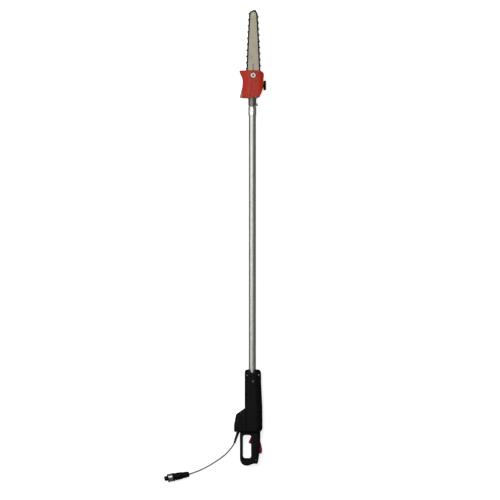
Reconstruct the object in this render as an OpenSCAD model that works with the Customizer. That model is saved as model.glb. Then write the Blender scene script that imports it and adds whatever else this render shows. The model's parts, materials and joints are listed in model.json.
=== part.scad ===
// Telescoping pole saw: a motor handle, a two-tube telescoping pole and a chain-saw head.
// The pole runs along Y with the saw at the +Y end, and the tool lies flat on the floor, z = 0.
// Inside the modules x and z are measured from the pole's axis, and y from the tool's middle.

/* [Pole] */
// Distance of the pole's axis from the middle of the tool's width
pole_x = 9.4; // [9:0.1:10]
// Height of the pole's axis above the floor
pole_z = 36; // [36:0.1:37]
// Outer diameter of the fixed tube
outer_tube_d = 30; // [29.8:0.1:30.2]
// Outer diameter of the sliding tube
inner_tube_d = 24; // [23.6:0.1:24.2]
// Wall thickness of both tubes
tube_wall = 1.5; // [1.3:0.1:1.6]
// Lower end of the fixed tube, inside the handle
outer_tube_y0 = -645; // [-650:1:-642]
// Upper end of the fixed tube, inside the lock collar
outer_tube_y1 = 532; // [530:1:534]
// Lower end of the sliding tube, pushed fully in
inner_tube_y0 = -400; // [-450:1:-350]
// Across the flats of the square upper drive shaft
square_shaft = 7; // [6.5:0.1:7.2]
// Upper end of the lower, hollow drive shaft
hollow_shaft_y1 = 470; // [440:1:480]

/* [Lock collar] */
// Lower end of the twist-lock collar
collar_y0 = 508; // [506:1:510]
// Upper end of the twist-lock collar
collar_y1 = 545; // [544:0.5:545.5]
// Outer diameter of the collar
collar_d = 33; // [32.6:0.1:33.5]

/* [Saw head] */
// Lower end of the gearcase's neck
neck_y0 = 547; // [547:0.5:548]
// Diameter of the neck
neck_d = 33.5; // [33:0.1:34]
// Centre of the chain sprocket's shaft along the pole
sprocket_y = 622; // [621:0.1:623]
// Upper edge of the red cover
head_y1 = 694; // [693:1:695]
// Middle plane of the guide bar and chain above the pole's axis
bar_z = 18; // [17.8:0.1:18.2]
// Wall of the moulded cover and tank
cover_wall = 2.5; // [2:0.1:3]
// Centre of the oil cap along the pole
cap_y = 633; // [631:1:635]
// Diameter of the oil cap
cap_d = 40; // [38:0.5:41]

/* [Bar and chain] */
// Sideways offset of the guide bar's centre line from the pole's axis
bar_x = 4.5; // [4:0.1:5]
// Width of the guide bar where it leaves the cover
bar_w = 44; // [43:0.1:44.4]
// Thickness of the guide bar
bar_t = 4; // [3.8:0.1:4.2]
// Length of one drive link, which is two rivet pitches
link_pitch = 12.7; // [12.6:0.1:12.8]
// Number of drive links in the chain loop
link_count = 56; // [52:4:60]
// Drive links around a full turn of the nose sprocket
nose_teeth = 7; // [7:1:8]
// Drive links around a full turn of the drive sprocket
drive_teeth = 9; // [8:1:9]

/* [Handle] */
// Upper end of the housing
handle_y1 = -546; // [-548:1:-545]
// Lower end of the housing's barrel
handle_y0 = -805; // [-806:1:-804]
// Half the barrel's height
handle_h = 36; // [35.5:0.1:36]
// Wall of the housing shells
shell_wall = 3; // [2.5:0.1:3.2]
// Radius of the motor
motor_r = 26; // [25:0.1:26.2]
// Lower end of the hand opening
opening_y0 = -914; // [-915:1:-912]
// Upper end of the hand opening
opening_y1 = -818; // [-819:1:-817]
// Left edge of the hand opening
opening_x0 = -38.5; // [-39:0.5:-37]
// Right edge of the hand opening
opening_x1 = -5; // [-6:0.5:-4.5]

/* [Cord and plug] */
// Diameter of the supply cord
cord_d = 6.5; // [6:0.1:6.8]
// Largest diameter of the plug's coupling ring
plug_ring_d = 36; // [35:0.5:36]

/* [Hidden] */
$fn = 48;

// Colours of the finished tool.
black_plastic = [0.08, 0.08, 0.08];
red_plastic = [0.72, 0.15, 0.13];
crimson_plastic = [0.65, 0.02, 0.18];
satin_aluminium = [0.80, 0.79, 0.74];
cast_metal = [0.30, 0.30, 0.27];
bright_steel = [0.78, 0.78, 0.76];
dark_steel = [0.20, 0.20, 0.18];
grey_plastic = [0.55, 0.55, 0.55];
brass_metal = [0.72, 0.56, 0.28];
copper_metal = [0.70, 0.38, 0.22];
board_green = [0.08, 0.35, 0.16];

// Clearances: a running fit, and the gap between other moving faces.
fit = 0.05;
gap = 0.4;

// Tubes.
outer_r = outer_tube_d / 2;
outer_bore_r = outer_r - tube_wall;
inner_r = inner_tube_d / 2;
inner_bore_r = inner_r - tube_wall;
inner_tube_y1 = neck_y0 + 28;

// Housing outlines, seen from above.
BARREL = [
    [-31.5, handle_y0], [-31.5, handle_y1 - 11], [-24, handle_y1], [26, handle_y1],
    [36.8, handle_y1 - 13], [37, -600], [42, -700], [42.7, -792], [34, handle_y0]
];
BULGE = [
    [-28, -704], [-44, -716], [-66, -732], [-72, -757], [-76, -776], [-76, -800],
    [-71, handle_y0], [-28, handle_y0]
];
LOOP = [
    [-51.5, -802], [-51.5, -918], [-49, -930], [-41, -940], [-30, -945], [-14, -945],
    [-4, -940], [8, -936.5], [20.5, -938.5], [24, -931], [28, -908], [29.5, -895],
    [29.5, -867], [33.4, -853], [33.4, -802]
];
grip_x1 = 34;
loop_h = 13;
grip_h = 17;
// The barrel's section across the pole: a flat top and bottom with wide chamfers.
BARREL_SECTION = [
    [-31.5, -20], [-19, -handle_h], [24, -handle_h], [43, -18],
    [43, 18], [24, handle_h], [-19, handle_h], [-31.5, 20]
];
BULGE_SECTION = [[-76, -17], [-68, -25], [-20, -25], [-20, 25], [-68, 25], [-76, 17]];
GRIP_SECTION = [
    [opening_x1, -9], [1.5, -grip_h], [26, -grip_h], [grip_x1, -9],
    [grip_x1, 9], [26, grip_h], [1.5, grip_h], [opening_x1, 9]
];

// Housing screws: x, y, the half thickness of the shells there, and the depth of the head's recess.
HOUSING_SCREWS = [
    [-21, -569, 32, 4], [26.5, -568, 32, 4], [-23, -650, 30, 14], [34, -650, 26, 12],
    [34, -792, 26, 12], [-64, -741, 25, 12], [-70.5, -788, 22, 10], [-44.5, -929, 13, 5],
    [15, -921, 13, 7]
];
screw_shank_r = 1.5;
screw_head_r = 3.2;
// The short screw that pins the tube in its socket.
tube_pin_at = [3, -595];
tube_pin_r = 2.4;
// Dished mouth that shows the end of the tube.
mouth_r = 14;
mouth_y = handle_y1 + 1.5;

// Trigger and lock lever.
trigger_pin_at = [4, -816];
lock_pin_at = [25, -836];
lever_half_t = 5;
lever_pin_r = 2;
plunger_y = -834;

// Motor.
motor_y0 = -745;
motor_y1 = -655;
motor_shaft_r = 4;
motor_bearing_r = 8;
coupler_y0 = -640;
coupler_y1 = -600;
hollow_shaft_r = 6.5;

// Bevel drive: both pitch cones meet where the pole's axis crosses the sprocket shaft.
pinion_teeth = 10;
gear_teeth = 15;
bevel_module = 1.6;
pinion_r = pinion_teeth * bevel_module / 2;
gear_r = gear_teeth * bevel_module / 2;
bevel_face = 5;
shaft_r = 4;

// Guide bar and chain.
rail_gap = 2.65;
strap_r = 2.55;
strap_waist = 2.2;
strap_crown = 4;
cutter_top = 6.2;
mouth_x0 = -28;
mouth_x1 = 37;
tang_depth = 7.4;
skirt_depth = 4.5;
skirt_half = 6;
nose_path_r = nose_teeth * link_pitch / (2 * PI);
drive_path_r = drive_teeth * link_pitch / (2 * PI);
nose_r = nose_path_r - rail_gap;
nose_y = 945 - 5 - nose_path_r;
taper_y = 700;
tail_y = 646;
tail_half = 14;
rail_y0 = 668;
groove_depth = 5.2;
core_t = 1.6;
link_t = 1.3;
strap_t = 1;
strap_z = link_t / 2 + 0.1;
rivet_r = 1.5;
stud_y = 673;
stud_r = 3;
stud_head_r = 4.3;
nut_r = 12;
peg_x = bar_x - 12;
peg_y = 672;

// Oil cap, on the right-hand side of the tank.
cap_x0 = 46.4;
cap_x1 = 57.3;
cap_z = -14;
cap_neck_r = 7;
tank_z0 = -28;
tank_z1 = -4.2;

// The cord's route: x from the pole's axis, y, and height above the floor.
CORD_ROUTE = [
    [-54, -791, 38], [-58, -803, 36], [-66, -827, 32], [-74, -851, 28], [-84, -868, 24],
    [-96, -883, 19], [-109, -897, 14], [-123, -909, 9.5], [-138, -919.8, 6], [-154, -930.8, 4.2],
    [-171, -941.6, 3.6], [-188, -951.4, 3.6], [-205, -960.2, 4], [-222, -967.6, 5.6],
    [-238, -973.6, 8.6], [-252, -978.5, 11.6], [-262, -981.4, 13.5], [-275, -983.9, 14.4]
];
cord_exit = CORD_ROUTE[1];
relief_end = CORD_ROUTE[3];
plug_rear = CORD_ROUTE[16];
plug_tip = [-366, -1001, 20.5];

// ---------- Helpers ----------

module at_pole() {
    translate([pole_x, 0, pole_z]) children();
}

// Local z runs along +Y from y.
module along_y(y = 0) {
    translate([0, y, 0]) rotate([-90, 0, 0]) children();
}

// Local z runs along +X from x.
module along_x(x = 0) {
    translate([x, 0, 0]) rotate([0, 90, 0]) children();
}

// A round bar along the pole.
module rod(y0, y1, r) {
    along_y(y0) cylinder(r = r, h = y1 - y0);
}

// A round tube along the pole.
module pipe(y0, y1, r, bore) {
    difference() {
        rod(y0, y1, r);
        rod(y0 - 1, y1 + 1, bore);
    }
}

// A ring about local z.
module ring(r, bore, h) {
    difference() {
        cylinder(r = r, h = h);
        translate([0, 0, -1]) cylinder(r = bore, h = h + 2);
    }
}

// A section across the pole, drawn as x and z, extruded along the pole.
module section(points, y0, y1, inset = 0) {
    along_y(y0) linear_extrude(y1 - y0) mirror([0, 1]) offset(delta = -inset) polygon(points);
}

// An outline seen from above, extruded between two heights.
module plan(points, z0, z1, inset = 0) {
    translate([0, 0, z0]) linear_extrude(z1 - z0) offset(delta = -inset) polygon(points);
}

// Local z points from a towards b.
module aim(a, b) {
    d = b - a;
    translate(a) rotate([0, acos(d[2] / norm(d)), atan2(d[1], d[0])]) children();
}

// A deep-groove ball bearing about local z.
module ball_bearing(r, bore, w) {
    ball = (r - bore) * 0.22;
    middle = (r + bore) / 2;
    count = floor(PI * middle / ball * 0.7);
    ring(r, middle + ball * 0.7, w);
    ring(middle - ball * 0.7, bore, w);
    for (i = [0:count - 1]) rotate(i * 360 / count) translate([middle, 0, w / 2])
        sphere(r = ball * 0.68, $fn = 16);
}

// One row of straight bevel teeth about local z, with the apex at the origin.
module bevel_teeth(count, r, other_r, phase) {
    cone = norm([r, other_r]);
    top = bevel_module * 0.7;
    root = bevel_module * 0.9;
    half = PI * bevel_module / 4 - 0.28;
    lean = tan(25);
    for (i = [0:count - 1]) rotate(phase + i * 360 / count)
        translate([r, 0, -other_r]) rotate([0, -atan2(r, other_r), 0]) rotate(90)
            linear_extrude(bevel_face, scale = 1 - bevel_face / cone) polygon([
                [-half - root * lean, root], [half + root * lean, root],
                [half - top * lean, -top], [-half + top * lean, -top]
            ]);
}

// The cone that carries the teeth, from its back face at the root circle to the tooth's inner end.
module bevel_blank(r, other_r, back, bore) {
    cone = norm([r, other_r]);
    root = bevel_module * 0.8;
    inner = 1 - bevel_face / cone;
    big = [r - root * other_r / cone, -other_r - root * r / cone];
    difference() {
        rotate_extrude() polygon([
            [0, -other_r - back], [big[0], -other_r - back], big, big * inner,
            [0, big[1] * inner]
        ]);
        translate([0, 0, -other_r - back - 1]) cylinder(r = bore, h = back + other_r + 2);
    }
}

// ---------- Handle ----------

module housing_outside() {
    intersection() {
        plan(BARREL, -handle_h, handle_h);
        section(BARREL_SECTION, handle_y0, handle_y1);
    }
    intersection() {
        plan(BULGE, -handle_h, handle_h);
        section(BULGE_SECTION, handle_y0, -700);
    }
    difference() {
        union() {
            plan(LOOP, -loop_h, loop_h);
            plan(LOOP, -loop_h - 2, loop_h + 2, 2);
            intersection() {
                plan(LOOP, -grip_h, grip_h);
                section(GRIP_SECTION, -934, handle_y0 + 3);
            }
        }
        hand_opening();
    }
}

module hand_opening() {
    r = 9;
    translate([0, 0, -30]) linear_extrude(60) {
        translate([opening_x0, opening_y0 + r]) square([opening_x1 - opening_x0,
            opening_y1 - opening_y0 - 2 * r]);
        translate([opening_x0 + r, opening_y0]) square([opening_x1 - opening_x0 - 2 * r,
            opening_y1 - opening_y0]);
        for (x = [opening_x0 + r, opening_x1 - r], y = [opening_y0 + r, opening_y1 - r])
            translate([x, y]) circle(r = r);
    }
}

module housing_inside() {
    intersection() {
        plan(BARREL, -handle_h, handle_h, shell_wall);
        section(BARREL_SECTION, handle_y0, handle_y1 - 15, shell_wall);
    }
    intersection() {
        plan(BULGE, -handle_h, handle_h, shell_wall);
        section(BULGE_SECTION, handle_y0, -700, shell_wall);
    }
    intersection() {
        plan(LOOP, -grip_h, grip_h, shell_wall);
        section(GRIP_SECTION, -912, handle_y0 + 5, shell_wall);
    }
}

module screw_posts() {
    for (s = HOUSING_SCREWS) translate([s[0], s[1], -s[2] + 1])
        cylinder(r = 4.5, h = 2 * s[2] - 2, $fn = 32);
}

module screw_holes() {
    for (s = HOUSING_SCREWS) translate([s[0], s[1], 0]) {
        translate([0, 0, -s[2] * 0.6]) cylinder(r = screw_shank_r + fit, h = 60, $fn = 32);
        translate([0, 0, s[2] - s[3]]) cylinder(r = screw_head_r + 0.3, h = 30, $fn = 32);
    }
}

module lever_slots() {
    // Trigger slot in the grip's left wall, and lock lever slot in its right wall.
    translate([opening_x1 - 2, -858, -lever_half_t - 0.6]) cube([8, 41, 2 * lever_half_t + 1.2]);
    translate([14, -899, -lever_half_t - 0.6]) cube([26, 70, 2 * lever_half_t + 1.2]);
}

module housing() {
    difference() {
        union() {
            difference() {
                housing_outside();
                housing_inside();
            }
            intersection() {
                screw_posts();
                housing_outside();
            }
        }
        screw_holes();
        lever_slots();
        rod(-700, handle_y1 + 10, outer_r + fit);
        rod(motor_y0 - 10, outer_tube_y0, motor_r + 2.6);
        translate([0, mouth_y, 3]) cylinder(r = mouth_r, h = 40);
        translate([0, 0, -pole_z]) aim(cord_exit, relief_end) translate([0, 0, -14])
            cylinder(r = 7 + fit, h = 30);
        translate([tube_pin_at[0], tube_pin_at[1], 10]) cylinder(r = 4.2, h = 40);
        for (p = [trigger_pin_at, lock_pin_at]) translate([p[0], p[1], -14])
            cylinder(r = lever_pin_r, h = 28, $fn = 32);
    }
}

module housing_lower_shell() {
    color(black_plastic) at_pole() intersection() {
        housing();
        translate([-100, -1000, -100]) cube([200, 500, 100]);
    }
}

module housing_upper_shell() {
    color(black_plastic) at_pole() intersection() {
        housing();
        translate([-100, -1000, 0]) cube([200, 500, 100]);
    }
}

module housing_screws() {
    color(bright_steel) at_pole() {
        for (s = HOUSING_SCREWS) translate([s[0], s[1], 0]) {
            translate([0, 0, -s[2] * 0.5])
                cylinder(r = screw_shank_r, h = s[2] * 1.5 - s[3], $fn = 32);
            translate([0, 0, s[2] - s[3]]) pan_head(screw_head_r, 2.4);
        }
        translate([tube_pin_at[0], tube_pin_at[1], 0]) {
            translate([0, 0, 18]) cylinder(r = tube_pin_r, h = 14, $fn = 32);
            translate([0, 0, 32]) pan_head(4, 2.6);
        }
    }
}

// A pan head with a cross recess.
module pan_head(r, h) {
    difference() {
        cylinder(r = r, h = h, $fn = 32);
        for (a = [0, 90]) rotate(a) translate([-r * 0.6, -0.5, h - 1]) cube([r * 1.2, 1, 2]);
    }
}

module tube_socket() {
    color(black_plastic) at_pole() difference() {
        union() {
            rod(-640, -570, 20);
            rod(-640, -634, 26);
            rod(-583, -577, 24);
        }
        rod(-660, -560, outer_r + fit);
        translate([tube_pin_at[0], tube_pin_at[1], 0])
            cylinder(r = tube_pin_r + fit, h = 30, $fn = 32);
        for (s = HOUSING_SCREWS) translate([s[0], s[1], -40]) cylinder(r = 5, h = 80, $fn = 32);
    }
}

module motor_can() {
    color(bright_steel) at_pole() {
        pipe(motor_y0, motor_y1, motor_r, motor_r - 2);
        pipe(motor_y1, motor_y1 + 3, motor_r, motor_bearing_r);
        pipe(motor_y1 + 3, motor_y1 + 9, 11, motor_bearing_r);
    }
}

module motor_magnets() {
    r = motor_r - 2 - fit;
    color(dark_steel) at_pole() along_y(motor_y0 + 22) for (a = [0, 180]) rotate(a - 65)
        rotate_extrude(angle = 130) translate([r - 3, 0]) square([3, 58]);
}

module motor_end_bell() {
    color(black_plastic) at_pole() {
        difference() {
            pipe(motor_y0 - 3, motor_y0, motor_r, motor_bearing_r);
            for (a = [45:90:315]) along_y(motor_y0 - 4) rotate(a) translate([17, 0, 0])
                cylinder(r = 4, h = 6);
        }
        pipe(motor_y0 - 9, motor_y0 - 3, 11, motor_bearing_r);
    }
}

module motor_brushes() {
    color(brass_metal) at_pole() for (s = [-1, 1])
        translate([s > 0 ? 9.4 : -21.4, motor_y0 + 4, -3]) cube([12, 10, 6]);
}

module motor_bearings() {
    color(bright_steel) at_pole() {
        for (y = [motor_y1 + 2, motor_y0 - 8])
            along_y(y) ball_bearing(motor_bearing_r - 0.02, motor_shaft_r + fit, 6);
    }
}

module motor_mount_rings() {
    color(dark_steel) at_pole() for (y = [motor_y0 + 6, motor_y1 - 14])
        pipe(y, y + 8, motor_r + 2.5, motor_r + fit);
}

module motor_shaft() {
    color(bright_steel) at_pole() rod(motor_y0 - 9, coupler_y0 + 20, motor_shaft_r);
}

module armature() {
    stack_r = motor_r - 6;
    color(copper_metal) at_pole() difference() {
        union() {
            rod(motor_y0 + 24, motor_y0 + 78, stack_r);
            rod(motor_y0 + 20, motor_y0 + 82, stack_r - 4);
        }
        rod(motor_y0, motor_y1, motor_shaft_r);
        for (a = [0:30:330]) along_y(motor_y0 + 23) rotate(a) translate([stack_r - 1.5, 0, 0])
            cube([4, 2.4, 120], center = true);
    }
}

module commutator() {
    color(copper_metal) at_pole() difference() {
        rod(motor_y0 + 3, motor_y0 + 17, 9);
        rod(motor_y0, motor_y1, motor_shaft_r);
        for (a = [0:30:330]) along_y(motor_y0 + 3) rotate(a) translate([8.5, -0.3, -1])
            cube([2, 0.6, 13]);
    }
}

module shaft_coupler() {
    color(bright_steel) at_pole() difference() {
        rod(coupler_y0, coupler_y1, 10);
        rod(coupler_y0 - 1, coupler_y0 + 20, motor_shaft_r);
        rod(coupler_y0 + 20, coupler_y1 + 1, hollow_shaft_r);
    }
}

module lower_drive_shaft() {
    hole = square_shaft + 0.8;
    color(bright_steel) at_pole() difference() {
        rod(coupler_y0 + 20, hollow_shaft_y1, hollow_shaft_r);
        translate([-hole / 2, coupler_y0 + 25, -hole / 2])
            cube([hole, hollow_shaft_y1 - coupler_y0, hole]);
    }
}

module shaft_bush() {
    color(grey_plastic) at_pole()
        pipe(hollow_shaft_y1 - 24, hollow_shaft_y1 - 4, inner_bore_r - gap, hollow_shaft_r);
}

module outer_tube() {
    color(satin_aluminium) at_pole() pipe(outer_tube_y0, outer_tube_y1, outer_r, outer_bore_r);
}

module trigger() {
    color(crimson_plastic) at_pole() translate([0, 0, -lever_half_t])
        linear_extrude(2 * lever_half_t) difference() {
            union() {
                translate(trigger_pin_at) circle(r = 5);
                polygon([
                    [-1, -816], [-3.5, -824], [-7, -829], [-11, -838], [-15.5, -848],
                    [-14.5, -851.5], [-9, -853], [-4, -857], [-1, -857], [0, -846], [3, -834],
                    [8, -819]
                ]);
            }
            translate(trigger_pin_at) circle(r = lever_pin_r + fit);
        }
}

module lock_lever() {
    color(crimson_plastic) at_pole() translate([0, 0, -lever_half_t])
        linear_extrude(2 * lever_half_t) difference() {
            union() {
                translate(lock_pin_at) circle(r = 4.5);
                polygon([
                    [27, -832], [32, -839], [34.5, -847], [38, -861], [40.6, -875], [41, -886],
                    [38.5, -894], [33.5, -896.5], [28.5, -894], [26, -884], [25, -862], [23, -842]
                ]);
            }
            translate(lock_pin_at) circle(r = lever_pin_r + fit);
        }
}

module lever_pins() {
    color(bright_steel) at_pole() for (p = [trigger_pin_at, lock_pin_at])
        translate([p[0], p[1], -13]) cylinder(r = lever_pin_r, h = 26, $fn = 32);
}

// Torsion springs on the lever pins, beside the levers.
module lever_springs() {
    color(bright_steel) at_pole() for (p = [trigger_pin_at, lock_pin_at])
        translate([p[0], p[1], 0]) for (z = [6.2:1.1:9.5]) translate([0, 0, z])
            rotate_extrude() translate([2.7, 0]) circle(r = 0.5, $fn = 16);
}

module trigger_switch() {
    color(dark_steel) at_pole() difference() {
        translate([9, -852, -8]) cube([10, 26, 16]);
        along_x(8) translate([0, plunger_y, 0]) cylinder(r = 2.4, h = 8);
    }
}

module switch_plunger() {
    color(grey_plastic) at_pole() translate([0, plunger_y, 0]) along_x(3.6) cylinder(r = 2, h = 7);
}

module control_board() {
    color(board_green) at_pole() translate([-64, -787, -9]) cube([32, 36, 1.6]);
}

module board_parts() {
    color(dark_steel) at_pole() translate([0, 0, -7.4]) {
        for (y = [-780, -768]) translate([-58.5, y, 0]) cylinder(r = 5, h = 14);
        for (i = [0:3]) translate([-51 + 4 * i, -785, 2]) cube([1.6, 24, 10]);
        translate([-52, -786, 0]) cube([16, 26, 2]);
        translate([-62, -761, 0]) cube([9, 8, 5]);
    }
}

// ---------- Lock collar ----------

module collet() {
    color(grey_plastic) at_pole() difference() {
        union() {
            pipe(outer_tube_y1 - 14, outer_tube_y1, outer_bore_r - fit, inner_r + gap);
            pipe(outer_tube_y1, outer_tube_y1 + 8, outer_r - 1, inner_r + gap);
        }
        for (a = [0, 60, 120]) along_y(outer_tube_y1 - 10) rotate(a)
            translate([-20, -0.6, 0]) cube([40, 1.2, 20]);
    }
}

module lock_collar() {
    color(satin_aluminium) at_pole() difference() {
        rod(collar_y0, collar_y1, collar_d / 2);
        rod(collar_y0 - 1, outer_tube_y1 + 1, outer_r + gap);
        rod(outer_tube_y1, collar_y1 - 3, outer_r - 0.6);
        rod(collar_y1 - 4, collar_y1 + 1, inner_r + gap);
        for (a = [0:15:345]) along_y(collar_y0 + 6) rotate(a) translate([collar_d / 2 + 0.5, 0, 0])
            cylinder(r = 0.9, h = 22, $fn = 16);
    }
}

// ---------- Sliding tube ----------

module inner_tube() {
    color(satin_aluminium) at_pole() pipe(inner_tube_y0, inner_tube_y1, inner_r, inner_bore_r);
}

module tube_guide() {
    color(grey_plastic) at_pole() difference() {
        union() {
            rod(inner_tube_y0 - 20, inner_tube_y0, outer_bore_r - gap);
            rod(inner_tube_y0, inner_tube_y0 + 15, inner_bore_r - fit);
        }
        rod(inner_tube_y0 - 21, inner_tube_y0 + 16, hollow_shaft_r + gap);
    }
}

module upper_drive_shaft() {
    s = square_shaft;
    color(bright_steel) at_pole() {
        translate([-s / 2, inner_tube_y0 + 40, -s / 2]) cube([s, 580 - inner_tube_y0 - 40, s]);
        rod(580, sprocket_y - gear_r + 1, shaft_r);
    }
}

// ---------- Gearcase ----------

CASTING = [
    [-51, 691], [-51, 686], [-47, 677], [-42, 668], [-38.5, 658], [-37.8, 646], [-39, 634],
    [-43, 620], [-47.5, 602], [-52, 585], [-51, 580], [-17, 578], [19, 578], [31, 585],
    [36, 600], [42, 620], [44, 655], [45, 677], [36, 688], [26, 691]
];
chamber_r = 27;
// The neck's full diameter ends short of the chain on its sprocket.
neck_y1 = sprocket_y - 27;
// Neck clamp screw, tension screw and oil pump.
clamp_at = [19, neck_y0 + 5.5];
clamp_screw_r = 2.5;
clamp_head_r = 4.6;
tension_x = -22;
tension_z = 9;
tension_screw_r = 2;
pump_at = [20, 661];
pump_r = 6;

module gearcase() {
    color(cast_metal) at_pole() difference() {
        union() {
            plan(CASTING, -4, 14);
            // Pad that carries the bar, with a tongue under the bar's slot.
            translate([bar_x - 19, tail_y + 2, 13]) cube([38, 42, bar_z - bar_t / 2 - 13]);
            translate([bar_x - 10, 688, 4]) cube([20, 38, bar_z - bar_t / 2 - 4]);
            translate([0, sprocket_y, -pole_z + 3]) cylinder(r = chamber_r, h = pole_z);
            rod(neck_y0, neck_y1, neck_d / 2);
            rod(neck_y0, sprocket_y - 18, 13.5);
            // Clamp lug with its screw, at the right of the neck.
            translate([10, neck_y0, -6]) cube([13, 11, 12]);
        }
        translate([0, sprocket_y, -pole_z]) cylinder(r = chamber_r - 4, h = pole_z + 3);
        for (a = [45:90:315]) translate([0, sprocket_y, -pole_z]) rotate(a)
            translate([chamber_r - 2, 0, 0]) cylinder(r = 1.2, h = 10, $fn = 24);
        translate([0, sprocket_y, 0]) cylinder(r = shaft_r + 1.5, h = 20);
        translate([0, sprocket_y, 0]) cylinder(r = 7.5 + fit, h = 10);
        rod(neck_y0 - 1, inner_tube_y1, inner_r + fit);
        rod(neck_y0, sprocket_y - 20, 8);
        rod(582, 590, 11);
        rod(596, sprocket_y - 6, 10.2);
        // Clamp slit, screw, stud and tension screw holes.
        translate([8, neck_y0 - 1, -0.8]) cube([30, 14, 1.6]);
        translate([clamp_at[0], clamp_at[1], -10]) {
            cylinder(r = clamp_screw_r + fit, h = 20, $fn = 32);
            translate([0, 0, 16]) cylinder(r = clamp_head_r + gap, h = 10, $fn = 32);
        }
        translate([bar_x, stud_y, -10]) cylinder(r = stud_r, h = 40, $fn = 32);
        translate([tension_x, 0, tension_z]) rod(655, 720, tension_screw_r + fit);
        translate([-26, peg_y - 6, 4.5]) cube([10, 18, 8]);
        translate([-17, peg_y - 6, 6.5]) cube([peg_x + 20.5, 18, 12]);
        translate([pump_at[0], pump_at[1], -12]) cylinder(r = pump_r + fit, h = 14);
    }
}

module gearcase_cover() {
    color(cast_metal) at_pole() translate([0, sprocket_y, -pole_z]) difference() {
        union() {
            cylinder(r = chamber_r, h = 3);
            cylinder(r = chamber_r - 4 - fit, h = 5);
            cylinder(r = 12, h = 15);
        }
        translate([0, 0, 9]) cylinder(r = 8 + fit, h = 10);
        translate([0, 0, 7]) cylinder(r = 6, h = 10);
        for (a = [45:90:315]) rotate(a) translate([chamber_r - 2, 0, -1]) {
            cylinder(r = 1.2 + fit, h = 10, $fn = 24);
            cylinder(r = 1.8 + fit, h = 2.4, $fn = 24);
        }
    }
}

module head_screws() {
    color(bright_steel) at_pole() {
        // Neck clamp screw.
        translate([clamp_at[0], clamp_at[1], 0]) {
            translate([0, 0, -9]) cylinder(r = clamp_screw_r, h = 15, $fn = 32);
            translate([0, 0, 6]) difference() {
                cylinder(r = clamp_head_r, h = 4.5, $fn = 32);
                translate([0, 0, 2]) cylinder(r = 2.3, h = 4, $fn = 6);
            }
        }
        // Gearcase cover screws.
        for (a = [45:90:315]) translate([0, sprocket_y, -pole_z + 0.2]) rotate(a)
            translate([chamber_r - 2, 0, 0]) {
                cylinder(r = 1.8, h = 1.2, $fn = 24);
                cylinder(r = 1.2, h = 9, $fn = 24);
            }
    }
}

module head_bearings() {
    color(bright_steel) at_pole() {
        translate([0, sprocket_y, 5]) ball_bearing(7.5, shaft_r + fit, 5);
        translate([0, sprocket_y, -pole_z + 9]) ball_bearing(8, shaft_r + fit, 5);
        along_y(582) ball_bearing(11 - 0.02, shaft_r + fit, 8);
    }
}

module bevel_pinion() {
    color(bright_steel) at_pole() translate([0, sprocket_y, 0]) rotate([-90, 0, 0]) {
        bevel_teeth(pinion_teeth, pinion_r, gear_r, 90);
        bevel_blank(pinion_r, gear_r, 2, shaft_r);
        translate([0, 0, -gear_r - 8]) ring(6.5, shaft_r, 7);
    }
}

module bevel_gear() {
    color(bright_steel) at_pole() translate([0, sprocket_y, 0]) {
        bevel_teeth(gear_teeth, gear_r, pinion_r, -90 + 180 / gear_teeth);
        bevel_blank(gear_r, pinion_r, 3, shaft_r);
        translate([0, 0, -pinion_r - 8]) ring(7, shaft_r, 6);
    }
}

module sprocket_shaft() {
    color(bright_steel) at_pole() translate([0, sprocket_y, 0]) {
        translate([0, 0, -pole_z + 8]) cylinder(r = shaft_r, h = pole_z - 8 + 24);
        // Retaining clip above the sprocket.
        translate([0, 0, 22]) ring(6, shaft_r, 0.8);
    }
}

// A star whose tips stay inside the tips of the chain's tangs.
module star(count, tip, root, h) {
    linear_extrude(h) polygon([
        for (i = [0:count - 1], k = [0:3])
            (k == 1 || k == 2 ? tip : root) * [
                cos((i + [0, 0.3, 0.5, 0.8][k]) * 360 / count),
                sin((i + [0, 0.3, 0.5, 0.8][k]) * 360 / count)
            ]
    ]);
}

module drive_sprocket() {
    color(dark_steel) at_pole() translate([0, sprocket_y, bar_z]) difference() {
        union() {
            translate([0, 0, -2.8]) star(drive_teeth, drive_path_r - tang_depth - gap, 7.2, 5.6);
            translate([0, 0, -3.6]) cylinder(r = 6.6, h = 7.2);
        }
        translate([0, 0, -6]) cylinder(r = shaft_r, h = 12);
    }
}

// ---------- Guide bar ----------

// Half the bar's width at y: parallel beside the cover, then a gently curved taper.
function bar_half(y) = y < taper_y ? bar_w / 2 :
    bar_w / 2 - (bar_w / 2 - nose_r) * pow((y - taper_y) / (nose_y - taper_y), 1.25);

// The bar's outline up to y = top: its tail narrows towards the sprocket.
function bar_side(inset, top, side) = concat(
    [[bar_x + side * (tail_half - inset), tail_y + 2]],
    [for (y = concat([rail_y0], [for (y = [taper_y:25:top - 5]) y], [top]))
        [bar_x + side * (bar_half(y) - inset), y]]
);

module bar_outline(inset, top) {
    left = bar_side(inset, top, -1);
    last = len(left) - 1;
    difference() {
        union() {
            polygon(concat(bar_side(inset, top, 1), [for (i = [last:-1:0]) left[i]]));
            if (inset == 0) translate([bar_x, nose_y]) circle(r = nose_r);
        }
        bar_slot();
    }
}

module bar_slot() {
    w = 2 * stud_r + 0.6;
    translate([bar_x - w / 2, 662]) square([w, 57]);
    translate([bar_x, 719]) circle(r = w / 2);
    translate([bar_x, 662]) circle(r = w / 2);
    translate([peg_x, peg_y]) circle(r = 2.6);
}

module guide_bar_plates() {
    t = (bar_t - core_t) / 2;
    color([0.66, 0.63, 0.56]) at_pole() for (z = [-bar_t / 2, core_t / 2])
        translate([0, 0, bar_z + z]) linear_extrude(t) difference() {
            bar_outline(0, nose_y);
            translate([bar_x, nose_y]) circle(r = 2 + fit);
        }
}

module guide_bar_core() {
    color([0.66, 0.63, 0.56]) at_pole() translate([0, 0, bar_z - core_t / 2])
        linear_extrude(core_t) bar_outline(groove_depth, nose_y - 8);
}

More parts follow.
